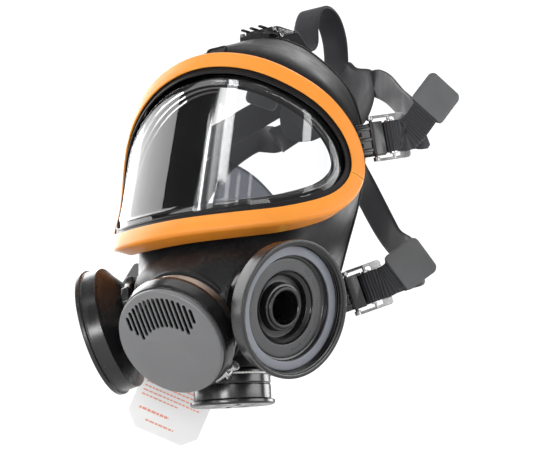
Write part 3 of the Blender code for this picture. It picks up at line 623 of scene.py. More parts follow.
def collar(distance):
    """Depth of the rubber round the speech unit."""
    past = max(0.0, distance - 31.8)
    return -29.0 - 14.0 * (1 - math.exp(-past / 5.0)) - 0.8 * past


def softer_of(a, b, blend):
    """The larger of two numbers, eased where they are close."""
    near = max(0.0, 1 - abs(a - b) / blend)
    return max(a, b) + blend / 4 * near * near


PORT_INVERSE = {key: place.inverted() for key, place in PORT.items()}


def raise_to_port(point, key, depth_of, reach, blend=6.0):
    local = PORT_INVERSE[key] @ (point * MM) / MM
    distance = math.hypot(local.x, local.y)
    lifted = softer_of(local.z, depth_of(distance), blend)
    fade = (1 - smoothstep(distance, reach * 0.65, reach)) * smoothstep(local.z, -90, -66)
    return point + PORT[key].to_3x3() @ Vector((0, 0, (lifted - local.z) * fade))


def skin_point(column, step):
    """A point of the skin, drawn out to the ports but held where it goes under the ring."""
    start = point = column[step]
    for side in ("left", "right"):
        point = raise_to_port(point, side, flare, 60.0)
    point = raise_to_port(point, "speech", collar, 44.0, 3.0)
    return start.lerp(point, smoothstep(step, 3, 3 + SKIN_STEPS * 0.7))


def skin_columns():
    """Paths over the outside of the facepiece, from under the ring back to the sealing lip."""
    loops = [both_sides(h) for h in (SKIN_FRONT, SKIN_MIDDLE, SKIN_BACK, SEAL_EDGE)]
    lip_loop = both_sides(SEAL_LIP)
    columns = []
    for i in range(SKIN_COLUMNS):
        u = i * LOOP / SKIN_COLUMNS
        under = [on_lens(u, outset, radius) for outset, radius in ((-2.5, 94.0), (3.4, 94.0), (7.6, 92.0))]
        guides = [on_lens(u, 8.2, 84.5), *[on_loop(loop, u) for loop in loops]]
        lip = on_loop(lip_loop, u)
        curl = guides[-1].lerp(lip, 0.35) + Vector((0, 5, 0))
        body = on_path(guides, SKIN_STEPS)
        turn_in = on_path([guides[-2], guides[-1], curl, lip], SKIN_STEPS)[SKIN_STEPS + 1:]
        columns.append([*under, *body, *turn_in])
    return columns


def make_facepiece():
    columns = skin_columns()
    rows = [[skin_point(column, k) for column in columns] for k in range(len(columns[0]))]
    body = loft("rubber_facepiece", rows, RUBBER)
    wall = body.modifiers.new("wall", "SOLIDIFY")
    wall.thickness = RUBBER_WALL * MM
    wall.offset = -1.0 if faces_out(body) else 1.0
    wall.use_rim = True
    settle(body)
    boss = [(0, BOSS_TOP), (BOSS_RADIUS, BOSS_TOP), (BOSS_RADIUS + 0.6, -52), (0, -52)]
    speech = [(0, -16.9), (31.8, -16.9), (31.8, -25.6), (34.2, -26.2), (34.6, -28.2), (32.4, -29.4),
              (31.8, -36), (0, -36)]
    valve = [(0, -22.4), (VALVE_RADIUS, -22.4), (VALVE_RADIUS - 0.8, -31), (22.4, -33), (20.5, -46), (0, -46)]
    joined = [lathe("boss", boss, PORT[side], RUBBER, 1.0, 120) for side in ("left", "right")]
    joined.append(lathe("speech_collar", speech, PORT["speech"], RUBBER, 0.6, 144))
    joined.append(lathe("valve_collar", valve, PORT["valve"], RUBBER, 1.0, 120))
    for buckle in BUCKLES:
        place = buckle.place()
        joined.append(block("lug", (-12.5, -9.5, -LUG_DEPTH), (-2.5, 9.5, -2.6), place, RUBBER, 1.4))
        joined.append(block("tongue", (-8, -10.8, -8.6), (11.5, 10.8, -7.1), place, RUBBER, 0.6))
    combine(body, joined, "UNION")
    cutters = []
    for buckle in BUCKLES:
        cutters.append(block("pocket", (-13.4, -10.4, -2.9), (2.6, 10.4, 6), buckle.place(), None, 0))
        cutters.append(bar("swing", 4.4, 15.6, -15.6, buckle.axle(0), None, 32, 0))
    wide, neck = 22.0 + GAP, RECEPTACLE_NECK + GAP
    bores = [(side, *bore, 96) for side in ("left", "right")
             for bore in ((wide, -10.0, BOSS_TOP), (neck, -30.0, -56.0), (wide, -41.6, -60.0))]
    bores += [("speech", SPEECH_NECK + GAP, -10.0, -26.6, 120), ("speech", 20.0, -20.0, -60.0, 96),
              ("valve", VALVE_NECK + GAP, -18.0, -60.0, 96)]
    cutters += [bar("bore", radius, top, bottom, PORT[key], None, steps, 0)
                for key, radius, top, bottom, steps in bores]
    combine(body, cutters, "DIFFERENCE")
    give(body, "facepiece_body")
    make_seal_bead(columns)
    make_brow_panel(columns)


def faces_out(obj):
    """True if the first face of a shell looks away from the middle of the head."""
    face = obj.data.polygons[len(obj.data.polygons) // 2]
    return face.normal.dot(face.center - Vector((0, 0, 30)) * MM) > 0


def make_seal_bead(columns):
    """The thin rolled edge where the skin turns in to the sealing lip."""
    edge = 3 + SKIN_STEPS * 4
    rows = []
    for column in columns[::2]:
        here = column[edge]
        out = (here - column[edge - 3]).normalized()
        side = (here - Vector((0, here.y, 30))).normalized()
        side = (side - side.project(out)).normalized()
        middle = here + side * 0.15
        rows.append([middle + (out * math.cos(a) + side * math.sin(a)) * 1.1 for a in turns(0, 360, 36)])
    give(loft("seal_bead", rows, RUBBER, joined=True))


def make_brow_panel(columns):
    """A blank raised frame moulded into the brow, left empty."""
    start = 3 + round(SKIN_STEPS * 0.55)
    outer = []
    for k in range(48):
        across, along = polar(1.0, 2 * math.pi * k / 48)
        outer.append(Vector((7.6 * math.copysign(abs(across) ** 0.35, across),
                             4.4 * math.copysign(abs(along) ** 0.35, along))))
    spot = columns[0][start + 3]
    ahead = (columns[0][start + 5] - columns[0][start + 1]).normalized()
    up = Vector((1, 0, 0)).cross(ahead).normalized()
    if up.z < 0:
        up.negate()
    place = frame_matrix(spot + up * 0.1, up)
    frame_piece = prism("brow_panel_frame", outer, -2.0, 0.9, place, RUBBER, 0.35)
    inside = prism("inside", [p * 0.8 for p in outer], 0.35, 3, place)
    give(combine(frame_piece, [inside], "DIFFERENCE", "EXACT"))


def make_nose_cup():
    rim = [(0, -43, 45), (16, -32, 34), (29, -15, 8), (35, -6, -20), (31, -7, -44), (17, -14, -57),
           (0, -16, -60)]
    middle = [(0, -50, 26), (13, -44, 16), (23, -35, -5), (27, -28, -26), (25, -28, -43), (15, -32, -52),
              (0, -34, -54)]
    front = [(0, -50, 2), (7, -51, -4), (12, -51, -14), (15, -51, -26), (14, -50, -36), (8, -48, -43),
             (0, -47, -45)]
    count = 2 * (len(rim) - 1)
    wide = 8 * count
    loops = [both_sides(h) for h in (front, middle, rim)]
    paths = [on_path([on_loop(loop, i * count / wide) for loop in loops], 9) for i in range(wide)]
    rows = [[path[k] for path in paths] for k in range(len(paths[0]))]
    cup = loft("inner_nose_cup", rows, SILICONE)
    wall = cup.modifiers.new("wall", "SOLIDIFY")
    wall.thickness = 1.8 * MM
    wall.offset = -1.0 if faces_out(cup) else 1.0
    settle(cup)
    bores = [bar(f"{side}_bore", 6.4, 8.0, -8.0, place, None, 48, 0) for side, place in CHECK_VALVE.items()]
    combine(cup, bores, "DIFFERENCE")
    give(cup, "nose_cup")
    bead = []
    for path in paths:
        out = (path[-1] - path[-4]).normalized() * 0.9
        bead.append([path[-1] + Vector((0, 0.6 * math.cos(a), 0)) + out * math.sin(a)
                     for a in turns(0, 360, 45)])
    give(loft("nose_cup_rim", bead, SILICONE, joined=True))


# ---------------------------------------------------------------- ports

THREAD_PITCH = 2.0
BOX_FACES = ((3, 2, 1, 0), (4, 5, 6, 7), (0, 1, 5, 4), (1, 2, 6, 5), (2, 3, 7, 6), (3, 0, 4, 7))


def thread(r, h, turn):
    """The cup's inside wall carries a rounded thread that winds towards the rim."""
    if not (38.0 < r < 38.6 and -6.6 < h < -0.3):
        return r
    phase = (h / THREAD_PITCH - turn / (2 * math.pi)) % 1.0
    ridge = max(0.0, math.cos((phase - 0.5) * 2 * math.pi * 0.8))
    ends = smoothstep(h, -6.6, -5.8) * (1 - smoothstep(h, -1.2, -0.3))
    return r - 1.15 * ridge * ends


def lugs(count, depth, r_from, r_to):
    """A radius that swells into rounded lugs round a piece."""
    def warp(r, h, turn):
        if not r_from < r < r_to:
            return r
        wave = 0.5 + 0.5 * math.cos(count * turn)
        return r + depth * smoothstep(wave, 0.35, 0.75)
    return warp


def make_receptacle(side):
    place = PORT[side]
    outside = [(RECEPTACLE_RADIUS, 0), (RECEPTACLE_RADIUS, -2.4), (39.7, -3.0), (39.7, -3.5), (39.4, -3.8),
               (39.2, -12.4), (37.0, -13.6), (33.5, -16.2), (22.0, -25.5), (22.0, -33.0),
               (RECEPTACLE_NECK, -33.0),
               (RECEPTACLE_NECK, -47.0)]
    inside = [(10.9, -47.0), (10.9, -11.6), (12.0, -10.6), (14.0, -10.9), (14.2, -13.0), (14.6, -16.4),
              (18.6, -16.4), (19.2, -12.4), (21.5, -10.9), (21.9, -9.5), (29.4, -9.5), (29.8, -8.8),
              (31.2, -8.6), (31.2, -7.4), (38.4, -7.4)]
    wall = [(38.4, -7.0 + 0.25 * k) for k in range(28)]
    section = [*outside, *inside, *wall, (39.2, 0)]
    cup = lathe(f"cartridge_cup_{side}", section, place, BLACK, 0.35, 192, thread)
    give(cup, f"cartridge_receptacle_{side}")
    dish = [(29.2, -9.42), (29.2, -9.6), (22.0, -9.6), (22.0, -9.42), (22.3, -9.3), (23.0, -9.25),
            (28.4, -9.25), (29.0, -9.3)]
    give(lathe(f"cup_dish_{side}", dish, place, DISH, 0.1, 160))
    gasket = [(36.9, -5.5), (36.6, -7.0), (31.6, -7.0), (31.3, -5.5), (31.8, -5.2), (36.4, -5.2)]
    give(lathe(f"cup_gasket_{side}", gasket, place, SEAL, 0.4, 160),
         f"receptacle_gasket_{side}")
    neck = [(24.2, -25.0), (25.0, -25.8), (25.0, -29.6), (24.4, -30.4), (21.0, -30.4), (21.0, -25.0)]
    give(lathe(f"neck_lugs_{side}", neck, place, BLACK, 0.5, 192, lugs(6, 3.4, 24.0, 26.0)))
    tube = [(10.0, -9.9), (10.5, -9.2), (12.0, -9.2), (12.6, -9.9), (12.6, -11.4), (10.0, -11.4)]
    give(lathe(f"tube_lip_{side}", tube, place, BLACK, 0.3, 128))
    make_ticks(side, place)
    nut = [(22.0, -42.0), (22.0, -46.4), (19.2, -46.4), (19.2, -42.0)]
    give(lathe(f"neck_nut_{side}", nut, place, BLACK, 0.4, 144, lugs(12, -0.7, 21.0, 22.5)),
         f"receptacle_nut_{side}")
    ring = [(17.0, -47.4), (17.0, -50.0), (10.4, -50.0), (10.4, -47.4)]
    seat = lathe(f"inlet_seat_{side}", ring, place, COVER, 0.3, 96)
    add_spider(seat, place, 11.5, -48.6, -49.8, -53.6)
    give(seat, f"inhalation_valve_seat_{side}")
    flap = [(13.5, -50.4), (13.5, -50.9), (12.6, -51.2), (2.1, -51.2), (2.1, -50.4)]
    give(lathe(f"inlet_flap_{side}", flap, place, SEAL, 0.15, 96), f"inhalation_valve_disc_{side}",
         body=f"inhalation_disc_{side}")


def make_ticks(side, place):
    """Plain moulded ticks round part of the dish floor, carrying no lettering."""
    points, faces = [], []
    for first, last, count in ((200, 335, 34), (75, 110, 9)):
        for k in range(count):
            if k % 6 == 5:
                continue
            turn = math.radians(first + (last - first) * k / count)
            length = 0.9 + 0.3 * math.sin(5.1 * k)
            out = polar(1.0, turn).to_3d()
            along = Vector((-out.y, out.x, 0))
            base = len(points)
            for z in (-9.5, -9.0):
                for a, b in ((-1, -1), (1, -1), (1, 1), (-1, 1)):
                    points.append(out * (26.2 + a * length) + along * (b * 0.35) + Vector((0, 0, z)))
            faces += [tuple(base + i for i in face) for face in BOX_FACES]
    give(new_object(f"cup_ticks_{side}", points, faces, DISH, place))


def add_spider(seat, place, reach, top, bottom, stem_end):
    """Two crossing bars and the stem that the valve disc rides on."""
    turned = place @ spin(20)
    low, high = sorted((stem_end, (top + bottom) / 2))
    extra = [block("across", (-reach, -0.9, bottom), (reach, 0.9, top), turned, COVER, 0.25),
             block("along", (-0.9, -reach, bottom + 0.1), (0.9, reach, top - 0.1), turned, COVER, 0.25),
             bar("stem", 1.6, high, low, place, COVER, 32)]
    combine(seat, extra, "UNION", "EXACT")


def stadium(width, low, high, steps=8):
    """Outline of a slot with round ends, along Y."""
    half = width / 2
    ends = []
    for centre, start in ((high - half, 0), (low + half, 180)):
        ends += [polar(half, math.radians(start + 180 * k / steps)) + Vector((0, centre))
                 for k in range(steps + 1)]
    return ends


def slot_span(across):
    away = abs(across)
    lower = 10.6 - 0.0254 * away ** 2 if away < 16 else 4.1 + (away - 16)
    return lower, math.sqrt(30.0 ** 2 - away ** 2)


def make_speech_unit():
    place = PORT["speech"]
    r = SPEECH_RADIUS
    housing = [(r + 0.6, -3.4), (r + 1.4, -6.0), (r + 2.3, -12.0), (r + 1.9, -15.4), (r - 0.6, -16.6),
               (SPEECH_NECK, -16.5), (SPEECH_NECK, -26.0), (20.0, -26.0), (20.0, -23.0), (25.5, -22.0),
               (25.5, -11.0), (30.2, -11.0), (31.2, -4.4)]
    give(lathe("speech_body", housing, place, BLACK, 0.8, 192), "speech_housing")
    # The film's near-black finish is painted shade, seen through the grille's slots.
    film = [(0, -10), (8, -10), (10, -9.8), (12, -10), (16, -10), (18, -9.8), (20, -10), (29.6, -10),
            (29.6, -10.6), (0, -10.6)]
    give(lathe("speech_film", film, place, FILM_PAINTED_SHADE, 0.4, 128), "speech_diaphragm")
    keeper = [(29.4, -7.0), (29.4, -9.6), (25.5, -9.6), (25.5, -7.0)]
    give(lathe("film_keeper", keeper, place, BLACK, 0.3, 128), "diaphragm_retaining_ring")
    disc = [(0, 0.2), (20, 0.2), (r - 1, -0.1), (r, -0.9), (r, -4), (r - 1.8, -4), (r - 1.8, -1), (0, -1)]
    cover = lathe("speech_grille", disc, place @ spin(1.1), COVER, 0.5, 192)
    slots = []
    for k in range(SLOT_COUNT):
        across = (k - (SLOT_COUNT - 1) / 2) * SLOT_PITCH
        outline = [p + Vector((across, 0)) for p in stadium(SLOT_WIDTH, *slot_span(across))]
        slots.append(prism("slot", outline, -5, 3, place))
    combine(cover, slots, "DIFFERENCE")
    give(cover, "speech_cover")
    band = [(33.0, -17.2), (33.25, -18.0), (33.0, -18.8), (33.0, -22.6), (33.25, -23.4), (33.0, -24.2),
            (32.1, -24.2), (32.1, -17.2)]
    give(lathe("clamp_strap", band, place, BAND, 0.25, 192), "band_clamp")
    tab = block("clamp_strap_tab", (32.6, -2.0, -22.2), (34.3, 2.0, -19.2), place @ spin(114), BAND, 0.4)
    give(tab)
    make_clamp_screw(place)


def make_clamp_screw(place):
    local = spin(-68) @ shifted(36.4, 0, -20.7)
    along = place @ local @ spin(-90, "X")
    housing = block("screw_housing", (-3.0, -3.4, -6.0), (3.0, 3.4, 6.0), along, STEEL, 1.1, 4)
    grooves = [block("groove", (x, y, z - 0.45), (4, 4, z + 0.45), along, None, 0)
               for x, y in ((-4, 1.9), (1.9, -4)) for z in (-4, -2, 0, 2, 4)]
    combine(housing, [*grooves, bar("bore", 2.2, 8, -8, along, None, 48, 0)], "DIFFERENCE", "EXACT")
    give(housing, "band_clamp_lug")
    profile = [(0, 12.4), (2.6, 12.4), (3.0, 12.0), (3.0, 8.9), (2.6, 8.5), (1.8, 8.5)]
    profile += [(1.8 if k % 2 else 1.45, 8.0 - 0.6 * k) for k in range(28)] + [(1.5, -9.5), (0, -9.5)]
    screw = lathe("clamp_worm_screw", profile, along, STEEL, 0.2, 48)
    drive = block("drive", (-3.4, -0.4, 11.2), (3.4, 0.4, 13), along, None, 0)
    combine(screw, [drive], "DIFFERENCE", "EXACT")
    give(screw, "band_clamp_screw")


def make_exhalation_valve():
    place = PORT["valve"]
    r = VALVE_RADIUS
    profile = [(r, -3.6), (r, -12.2), (r - 0.5, -12.6), (r - 0.5, -13.2), (r, -13.6), (r, -21),
               (r - 0.8, -21.8), (VALVE_NECK, -22), (VALVE_NECK, -38), (14.2, -38), (14.2, -19), (15.6, -19),
               (16.2, -20.4),
               (21.8, -20.4), (21.8, -3.6)]
    body = lathe("outlet_body", profile, place, BLACK, 0.35, 160)
    add_spider(body, place, 14.8, -19.6, -21.6, -14.0)
    give(body, "exhalation_valve_body")
    flap = [(17.4, -17.8), (16.8, -18.4), (10, -18.6), (2.1, -18.6), (2.1, -17.6), (16, -17.6)]
    give(lathe("outlet_flap", flap, place, SEAL, 0.2, 96), "exhalation_valve_disc", body="exhalation_disc")
    disc = [(0, 0), (25.0, 0), (26.6, -0.8), (26.6, -3.2), (r - 0.2, -3.2), (r - 0.2, -2.0), (0, -2.0)]
    cover = lathe("outlet_grille", disc, place, BLACK, 0.5, 160)
    outline = [Vector((p.y, p.x)) for p in stadium(3.0, 7.0, 20.0)]
    combine(cover, [prism("spoke", outline, -4, 2, place @ spin(45 * k)) for k in range(8)], "DIFFERENCE")
    give(cover, "exhalation_cover")


def make_check_valve(side):
    place = CHECK_VALVE[side]
    profile = [(8.0, 3.4), (8.0, 2.4), (6.0, 2.4), (6.0, -3.0), (4.6, -3.0), (4.6, 3.4)]
    seat = lathe(f"check_seat_{side}", profile, place, COVER, 0.3, 64)
    add_spider(seat, place, 5.2, -1.6, -2.8, -5.4)
    give(seat, f"nose_cup_valve_seat_{side}")
    flap = [(5.6, -3.3), (5.6, -3.9), (2.1, -3.9), (2.1, -3.3)]
    give(lathe(f"check_flap_{side}", flap, place, SEAL, 0.15, 64), f"nose_cup_valve_disc_{side}",
         body=f"nose_cup_disc_{side}")


# ---------------------------------------------------------------- harness

class Buckle:
    """A roller buckle: its hinge on the facepiece, and the way its strap runs off.

    The strap end's tail is the stretch between the frame and the pull tab. Side is 1 where it comes back over
    the outside of the frame and -1 where it comes back inside.
    """

    def __init__(self, name, hinge, strap, outwards, tab, tail, route, side=1):
        self.name = name
        self.tail = tail
        self.side = side
        self.hinge = Vector(hinge)
        self.strap = Vector(strap).normalized()
        out = Vector(outwards)
        self.out = (out - out.dot(self.strap) * self.strap).normalized()
        self.across = self.strap.cross(self.out)
        self.tab = Vector(tab).normalized()
        self.route = [Vector(p) for p in route]

    def at(self, reach, lift=0.0, across=0.0):
        return self.hinge + self.strap * reach + self.out * lift + self.across * across

    def place(self, reach=0.0, lift=0.0):
        """Local X along the strap, Y across it, Z away from the head."""
        turned_to = Matrix((self.strap, self.out.cross(self.strap), self.out)).transposed().to_4x4()
        return Matrix.Translation(self.at(reach, lift) * MM) @ turned_to

    def axle(self, reach, lift=0.0):
        """Local Z across the strap."""
        return self.place(reach, lift) @ spin(90, "X")

    def opposite(self):
        turned = [mirrored(v) for v in (self.hinge, self.strap, self.out, self.tab)]
        route = [mirrored(p) for p in self.route]
        return Buckle(self.name.replace("left", "right"), *turned, self.tail, route)


TEMPLE = Buckle("temple_left", (87, -2, 55), (0.60, 0.73, 0.16), (0.75, -0.60, -0.10), (0.50, 0.43, 0.79), 20,
                [(103, 38, 72), (90, 50, 86), (77, 68, 97), (57, 93, 116), (43, 105, 126)])
CHEEK = Buckle("cheek_left", (62, 2, -43), (0.82, 0.45, 0.28), (0.50, -0.83, -0.15), (0.76, 0.35, 0.54), 8,
               [(97, 34, -27), (86, 48, -14), (68, 57, 0), (46, 62, 42), (28, 80, 68), (19, 93, 86),
                (13, 105, 100)])
# The wearer's right cheek strap hangs further out than the left one.
CHEEK_RIGHT = Buckle("cheek_right", (-62, 2, -43), (-0.95, 0.15, 0.26), (-0.12, -0.98, 0.12),
                     (-0.78, 0.08, 0.62), 18,
                     [(-102, 24, -25), (-109, 46, 0), (-108, 66, 36), (-99, 82, 68), (-86, 96, 88),
                      (-67, 109, 102), (-50, 109, 100), (-42, 104, 98), (-28, 103.5, 103)])
TOP = Buckle("top", (0, 8, 148.5), (0, 0.99, 0.10), (0, -0.10, 0.99), (-0.45, 0.15, -0.88), 22,
             [(0, 64, 149), (0, 76, 156), (0, 79, 173), (0, 88, 187), (0, 102, 191.5), (0, 116, 187),
              (0, 124, 174), (0, 125, 158), (0, 123, 149)], side=-1)
BUCKLES = [TOP, TEMPLE, TEMPLE.opposite(), CHEEK, CHEEK_RIGHT]


def strip(name, centres, sides, half_width, half_depth, finish, columns=10):
    """A flat strip with rounded edges. half_width(s) and half_depth(s, top) give its section s mm along."""
    rows, travelled = [], 0.0
    for i, centre in enumerate(centres):
        if i:
            travelled += (centre - centres[i - 1]).length
        ahead = centres[min(i + 1, len(centres) - 1)] - centres[max(i - 1, 0)]
        side = (sides[i] - sides[i].project(ahead)).normalized()
        lift = ahead.normalized().cross(side)
        wide = half_width(travelled)
        top, bottom = half_depth(travelled, True), half_depth(travelled, False)
        edge = min(top, bottom, wide * 0.5)
        row = []
        for sign, deep in ((1, top), (-1, bottom)):
            spans = [sign * (1 - 2 * k / columns) for k in range(columns + 1)]
            row += [centre + side * (wide - edge) * s + lift * sign * deep for s in spans]
            turn_at = centre - side * sign * (wide - edge)
            for a in (36, 72, 108, 144):
                lean = math.radians(90 - a)
                depth = (top if lean > 0 else bottom) if sign > 0 else (bottom if lean > 0 else top)
                row.append(turn_at + (lift * depth * math.sin(lean) - side * edge * math.cos(lean)) * sign)
        rows.append(row)
    return loft(name, rows, finish, caps=True, sharp=45)


def tail_route(buckle):
    """The strap end: in along the frame, round the roller, back over it, and out towards the pull tab."""
    wrap = WRAP * buckle.side
    below = [(SPLIT_REACH, -wrap), (ROLLER_REACH + 6, -wrap)]
    around = [(ROLLER_REACH - WRAP * math.sin(a), -wrap * math.cos(a)) for a in turns(0, 181, 30)]
    route = [buckle.at(*p) for p in (*below, *around, (ROLLER_REACH + 5, wrap))]
    turn_off = buckle.at(FRAME_REACH + 2, wrap + 0.4 * buckle.side)
    return [*route, turn_off, turn_off + buckle.tab * buckle.tail]


RIB_PITCH = 1.9
CORNER = 4.5


def make_strap_end(buckle):
    """The ribbed strap end in the buckle, with its smooth square pull tab."""
    route = tail_route(buckle)
    tab_start = route[-1]
    centres, spacing = evenly(on_path([*route, tab_start + buckle.tab * TAB_LENGTH * 0.5,
                                       tab_start + buckle.tab * TAB_LENGTH], 12), 0.24)
    tab_across = (buckle.across - buckle.across.project(buckle.tab)).normalized()
    whole = spacing * (len(centres) - 1)
    shoulder = whole - TAB_LENGTH
    sides = [buckle.across.lerp(tab_across, smoothstep(k * spacing, shoulder - buckle.tail, shoulder))
             for k in range(len(centres))]

    def half_width(s):
        strap, tab = STRAP_WIDTH / 2 - 0.5, TAB_WIDTH / 2
        wide = strap + (tab - strap) * smoothstep(s, shoulder - 2.2, shoulder + 0.5)
        from_end = whole - s
        if s > shoulder and s - shoulder < 1.5:
            wide -= 0.6 * (1 - (s - shoulder) / 1.5)
        if from_end < CORNER:
            wide -= CORNER - math.sqrt(max(0.0, CORNER ** 2 - (CORNER - from_end) ** 2))
        return wide

    def half_depth(s, top):
        base = STRAP_THICKNESS / 2
        from_end = whole - s
        if from_end < 0.9:
            return (base + 0.1) * math.sqrt(max(0.02, 1 - (1 - from_end / 0.9) ** 2))
        if s > shoulder - 1.5:
            return base + 0.1
        ribbed = smoothstep(s, 0.0, 1.5) * (1 - smoothstep(s, shoulder - 2.5, shoulder - 1.5))
        wave = (s / RIB_PITCH) % 1.0
        return base - 0.15 - 0.45 * ribbed * smoothstep(abs(wave - 0.5), 0.18, 0.42)

    end = strip(f"{buckle.name}_ribbed_end", centres, sides, half_width, half_depth, STRAP)
    end.data.materials.append(TAB)
    for face in end.data.polygons:
        if (face.center / MM - tab_start).dot(buckle.tab) > -0.5:
            face.material_index = 1
    give(end, f"{buckle.name}_strap_end", body=f"{buckle.name}_buckle")


def make_strap(buckle):
    """The smooth strap from the buckle's free length back to the harness pad."""
    wrap = WRAP * buckle.side
    start = buckle.at(SPLIT_REACH, -wrap)
    lead = buckle.at(SPLIT_REACH + 6, -wrap)
    inwards = (PAD_CENTRE - buckle.route[-1]).normalized() * 4
    path = on_path([start, lead, *buckle.route, buckle.route[-1] + inwards], 16)
    centres, _ = evenly(path, 1.6)
    pad_side = buckle.route[-1] - PAD_CENTRE
    at_pad = Vector((pad_side.z, 0, -pad_side.x)).normalized()
    if at_pad.dot(buckle.across) < 0:
        at_pad.negate()
    count = len(centres)
    sides = [buckle.across.lerp(at_pad, i / (count - 1)) for i in range(count)]
    for i in range(min(6, count)):
        sides[i] = buckle.across.lerp(sides[min(6, count - 1)], i / 6)
    strap = strip(f"{buckle.name}_harness_strap", centres, sides, lambda s: STRAP_WIDTH / 2,
                  lambda s, top: STRAP_THICKNESS / 2, STRAP, 14)
    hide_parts(f"{buckle.name}_strap")
    start, end = buckle.at(SPLIT_REACH - 3) * MM, buckle.at(SPLIT_REACH + 34) * MM
    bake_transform(strap)
    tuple(start)
    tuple(end)


def rounded_rectangle(low, high, radius, steps=6):
    """Corner-rounded rectangle outline between two (x, y) corners."""
    corners = [(high[0] - radius, high[1] - radius, 0), (low[0] + radius, high[1] - radius, 90),
               (low[0] + radius, low[1] + radius, 180), (high[0] - radius, low[1] + radius, 270)]
    return [Vector((x, y)) + polar(radius, math.radians(start + 90 * k / steps))
            for x, y, start in corners for k in range(steps + 1)]


def make_bracket(buckle):
    """The moulded bracket with its hinge pin, and a keeper behind the hinge."""
    axle, place = buckle.axle(0), buckle.place()
    bracket = block(f"{buckle.name}_anchor", (-13, -10, -2.5), (-2.2, 10, 1.6), place, BLACK, 0.7)
    nose = [polar(7.3, a) for a in turns(-20, 21, 4)]
    extra = [bar("barrel", 2.6, 10.4, -10.4, axle, BLACK, 48), bar("pin", 1.1, 14.6, -14.6, axle, BLACK, 32),
             prism("keeper", [Vector((0, -2.5)), *nose, Vector((0, 2.5))], -10.8, 10.8, axle, BLACK, 0.3)]
    for y in (-7, 0, 7):
        extra.append(block("ridge", (-11.5, y - 1.2, 1.0), (-2, y + 1.2, 2.4), place, BLACK, 0.5))
    combine(bracket, extra, "UNION", "EXACT")
    notches = [block("notch", (-14, y - 1.6, 0.2), (-8.5, y + 1.6, 4), place, None, 0.4) for y in (-3.6, 3.6)]
    combine(bracket, notches, "DIFFERENCE", "EXACT")
    give(bracket, f"{buckle.name}_bracket")


def make_buckle(buckle):
    name, axle, place = buckle.name, buckle.axle(0), buckle.place()
    half = FRAME_HALF_WIDTH
    outer = rounded_rectangle((-1.4, -half), (FRAME_REACH + 2.2, half), 2.2)
    plate = prism(f"{name}_frame_plate", outer, -0.7, 0.7, place, PLATE, 0.3)
    window = rounded_rectangle((-6, -half + 1.9), (FRAME_REACH - 4.5, half - 1.9), 1.4)
    combine(plate, [prism("window", window, -3, 3, place)], "DIFFERENCE", "EXACT")
    curl(plate, buckle, FRAME_REACH - 4.5)
    extra = [bar("ear", 2.2, y + 1.3, y - 1.3, axle, PLATE, 48) for y in (1.6 - half, half - 1.6)]
    extra.append(bar("axle", 1.1, half - 0.4, -half + 0.4, buckle.axle(ROLLER_REACH), PLATE, 32))
    combine(plate, extra, "UNION", "EXACT")
    hole = bar("pin_hole", 1.1 + GAP, half + 4, -half - 4, axle, None, 32, 0)
    combine(plate, [hole], "DIFFERENCE", "EXACT")
    give(plate, f"{name}_buckle_frame", body=f"{name}_buckle")
    knurl = [(ROLLER_RADIUS + 0.1 * (k % 2), 11.0 - 2.2 * k) for k in range(11)]
    roller = [*knurl, (1.5, -11.2), (1.5, 11.2)]
    sleeve = lathe(f"{name}_turning_sleeve", roller, buckle.axle(ROLLER_REACH), STEEL, 0.25, 48)
    give(sleeve, f"{name}_roller", body=f"{name}_roller")
    make_strap_end(buckle)
    make_strap(buckle)


def curl(plate, buckle, start):
    """Bends the far lip of the frame plate up, away from the head."""
    place = buckle.place()
    inverse = place.inverted()
    for vertex in plate.data.vertices:
        local = inverse @ vertex.co / MM
        local.z += LIP_CURL * max(0.0, local.x - start) ** 2
        vertex.co = place @ (local * MM)
    plate.data.update()


def on_pad(point):
    return PAD_CENTRE + Vector((point.x, PAD_LEAN * point.y - PAD_CURVE * point.x ** 2, point.y))


def make_pad():
    """The plate at the back of the head that the five straps run into."""
    loop = both_sides(PAD_OUTLINE)
    count = len(loop)
    wide = 8 * count
    outline = [on_loop(loop, k * count / wide) for k in range(wide)]
    rows = []
    for side in (1, -1):
        face = []
        for share, lift in ((1.05, 0.0), (1.04, 0.7), (1.0, 1.2), (0.93, 1.35), (0.87, 1.35), (0.84, 1.0),
                            (0.6, 1.0), (0.3, 1.0), (0.0, 1.0)):
            face.append([on_pad(p * share) + Vector((0, side * lift, 0)) for p in outline])
        rows += face[::-1] if side > 0 else face[1:]
    give(loft("harness_back_plate", rows, STRAP, sharp=45), "harness_pad")


# ---------------------------------------------------------------- tag

def make_tag():
    wide, tall = TAG_HALF
    cut = 6.0 * math.sqrt(2)
    outline = [(wide - cut, tall), (cut - wide, tall), (-wide, tall - cut), (-wide, cut - tall),
               (cut - wide, -tall), (wide - cut, -tall), (wide, cut - tall), (wide, tall - cut)]
    card = prism("service_card", rounded(outline, 1.0), -0.3, 0.3, TAG_PLACE, CARD, 0.1)
    hole = TAG_PLACE @ shifted(*TAG_HOLE, 0)
    combine(card, [bar("hole", 2.4, 3, -3, hole, None, 48, 0)], "DIFFERENCE", "EXACT")
    give(card, "service_tag")
    eyelet = [(4, 0.45), (4.2, 0.3), (4.2, -0.3), (4, -0.45), (2.5, -0.45), (2.3, -0.2), (2.3, 0.2),
              (2.5, 0.45)]
    give(lathe("card_eyelet", eyelet, hole, CARD, 0.15, 64))
    make_print()


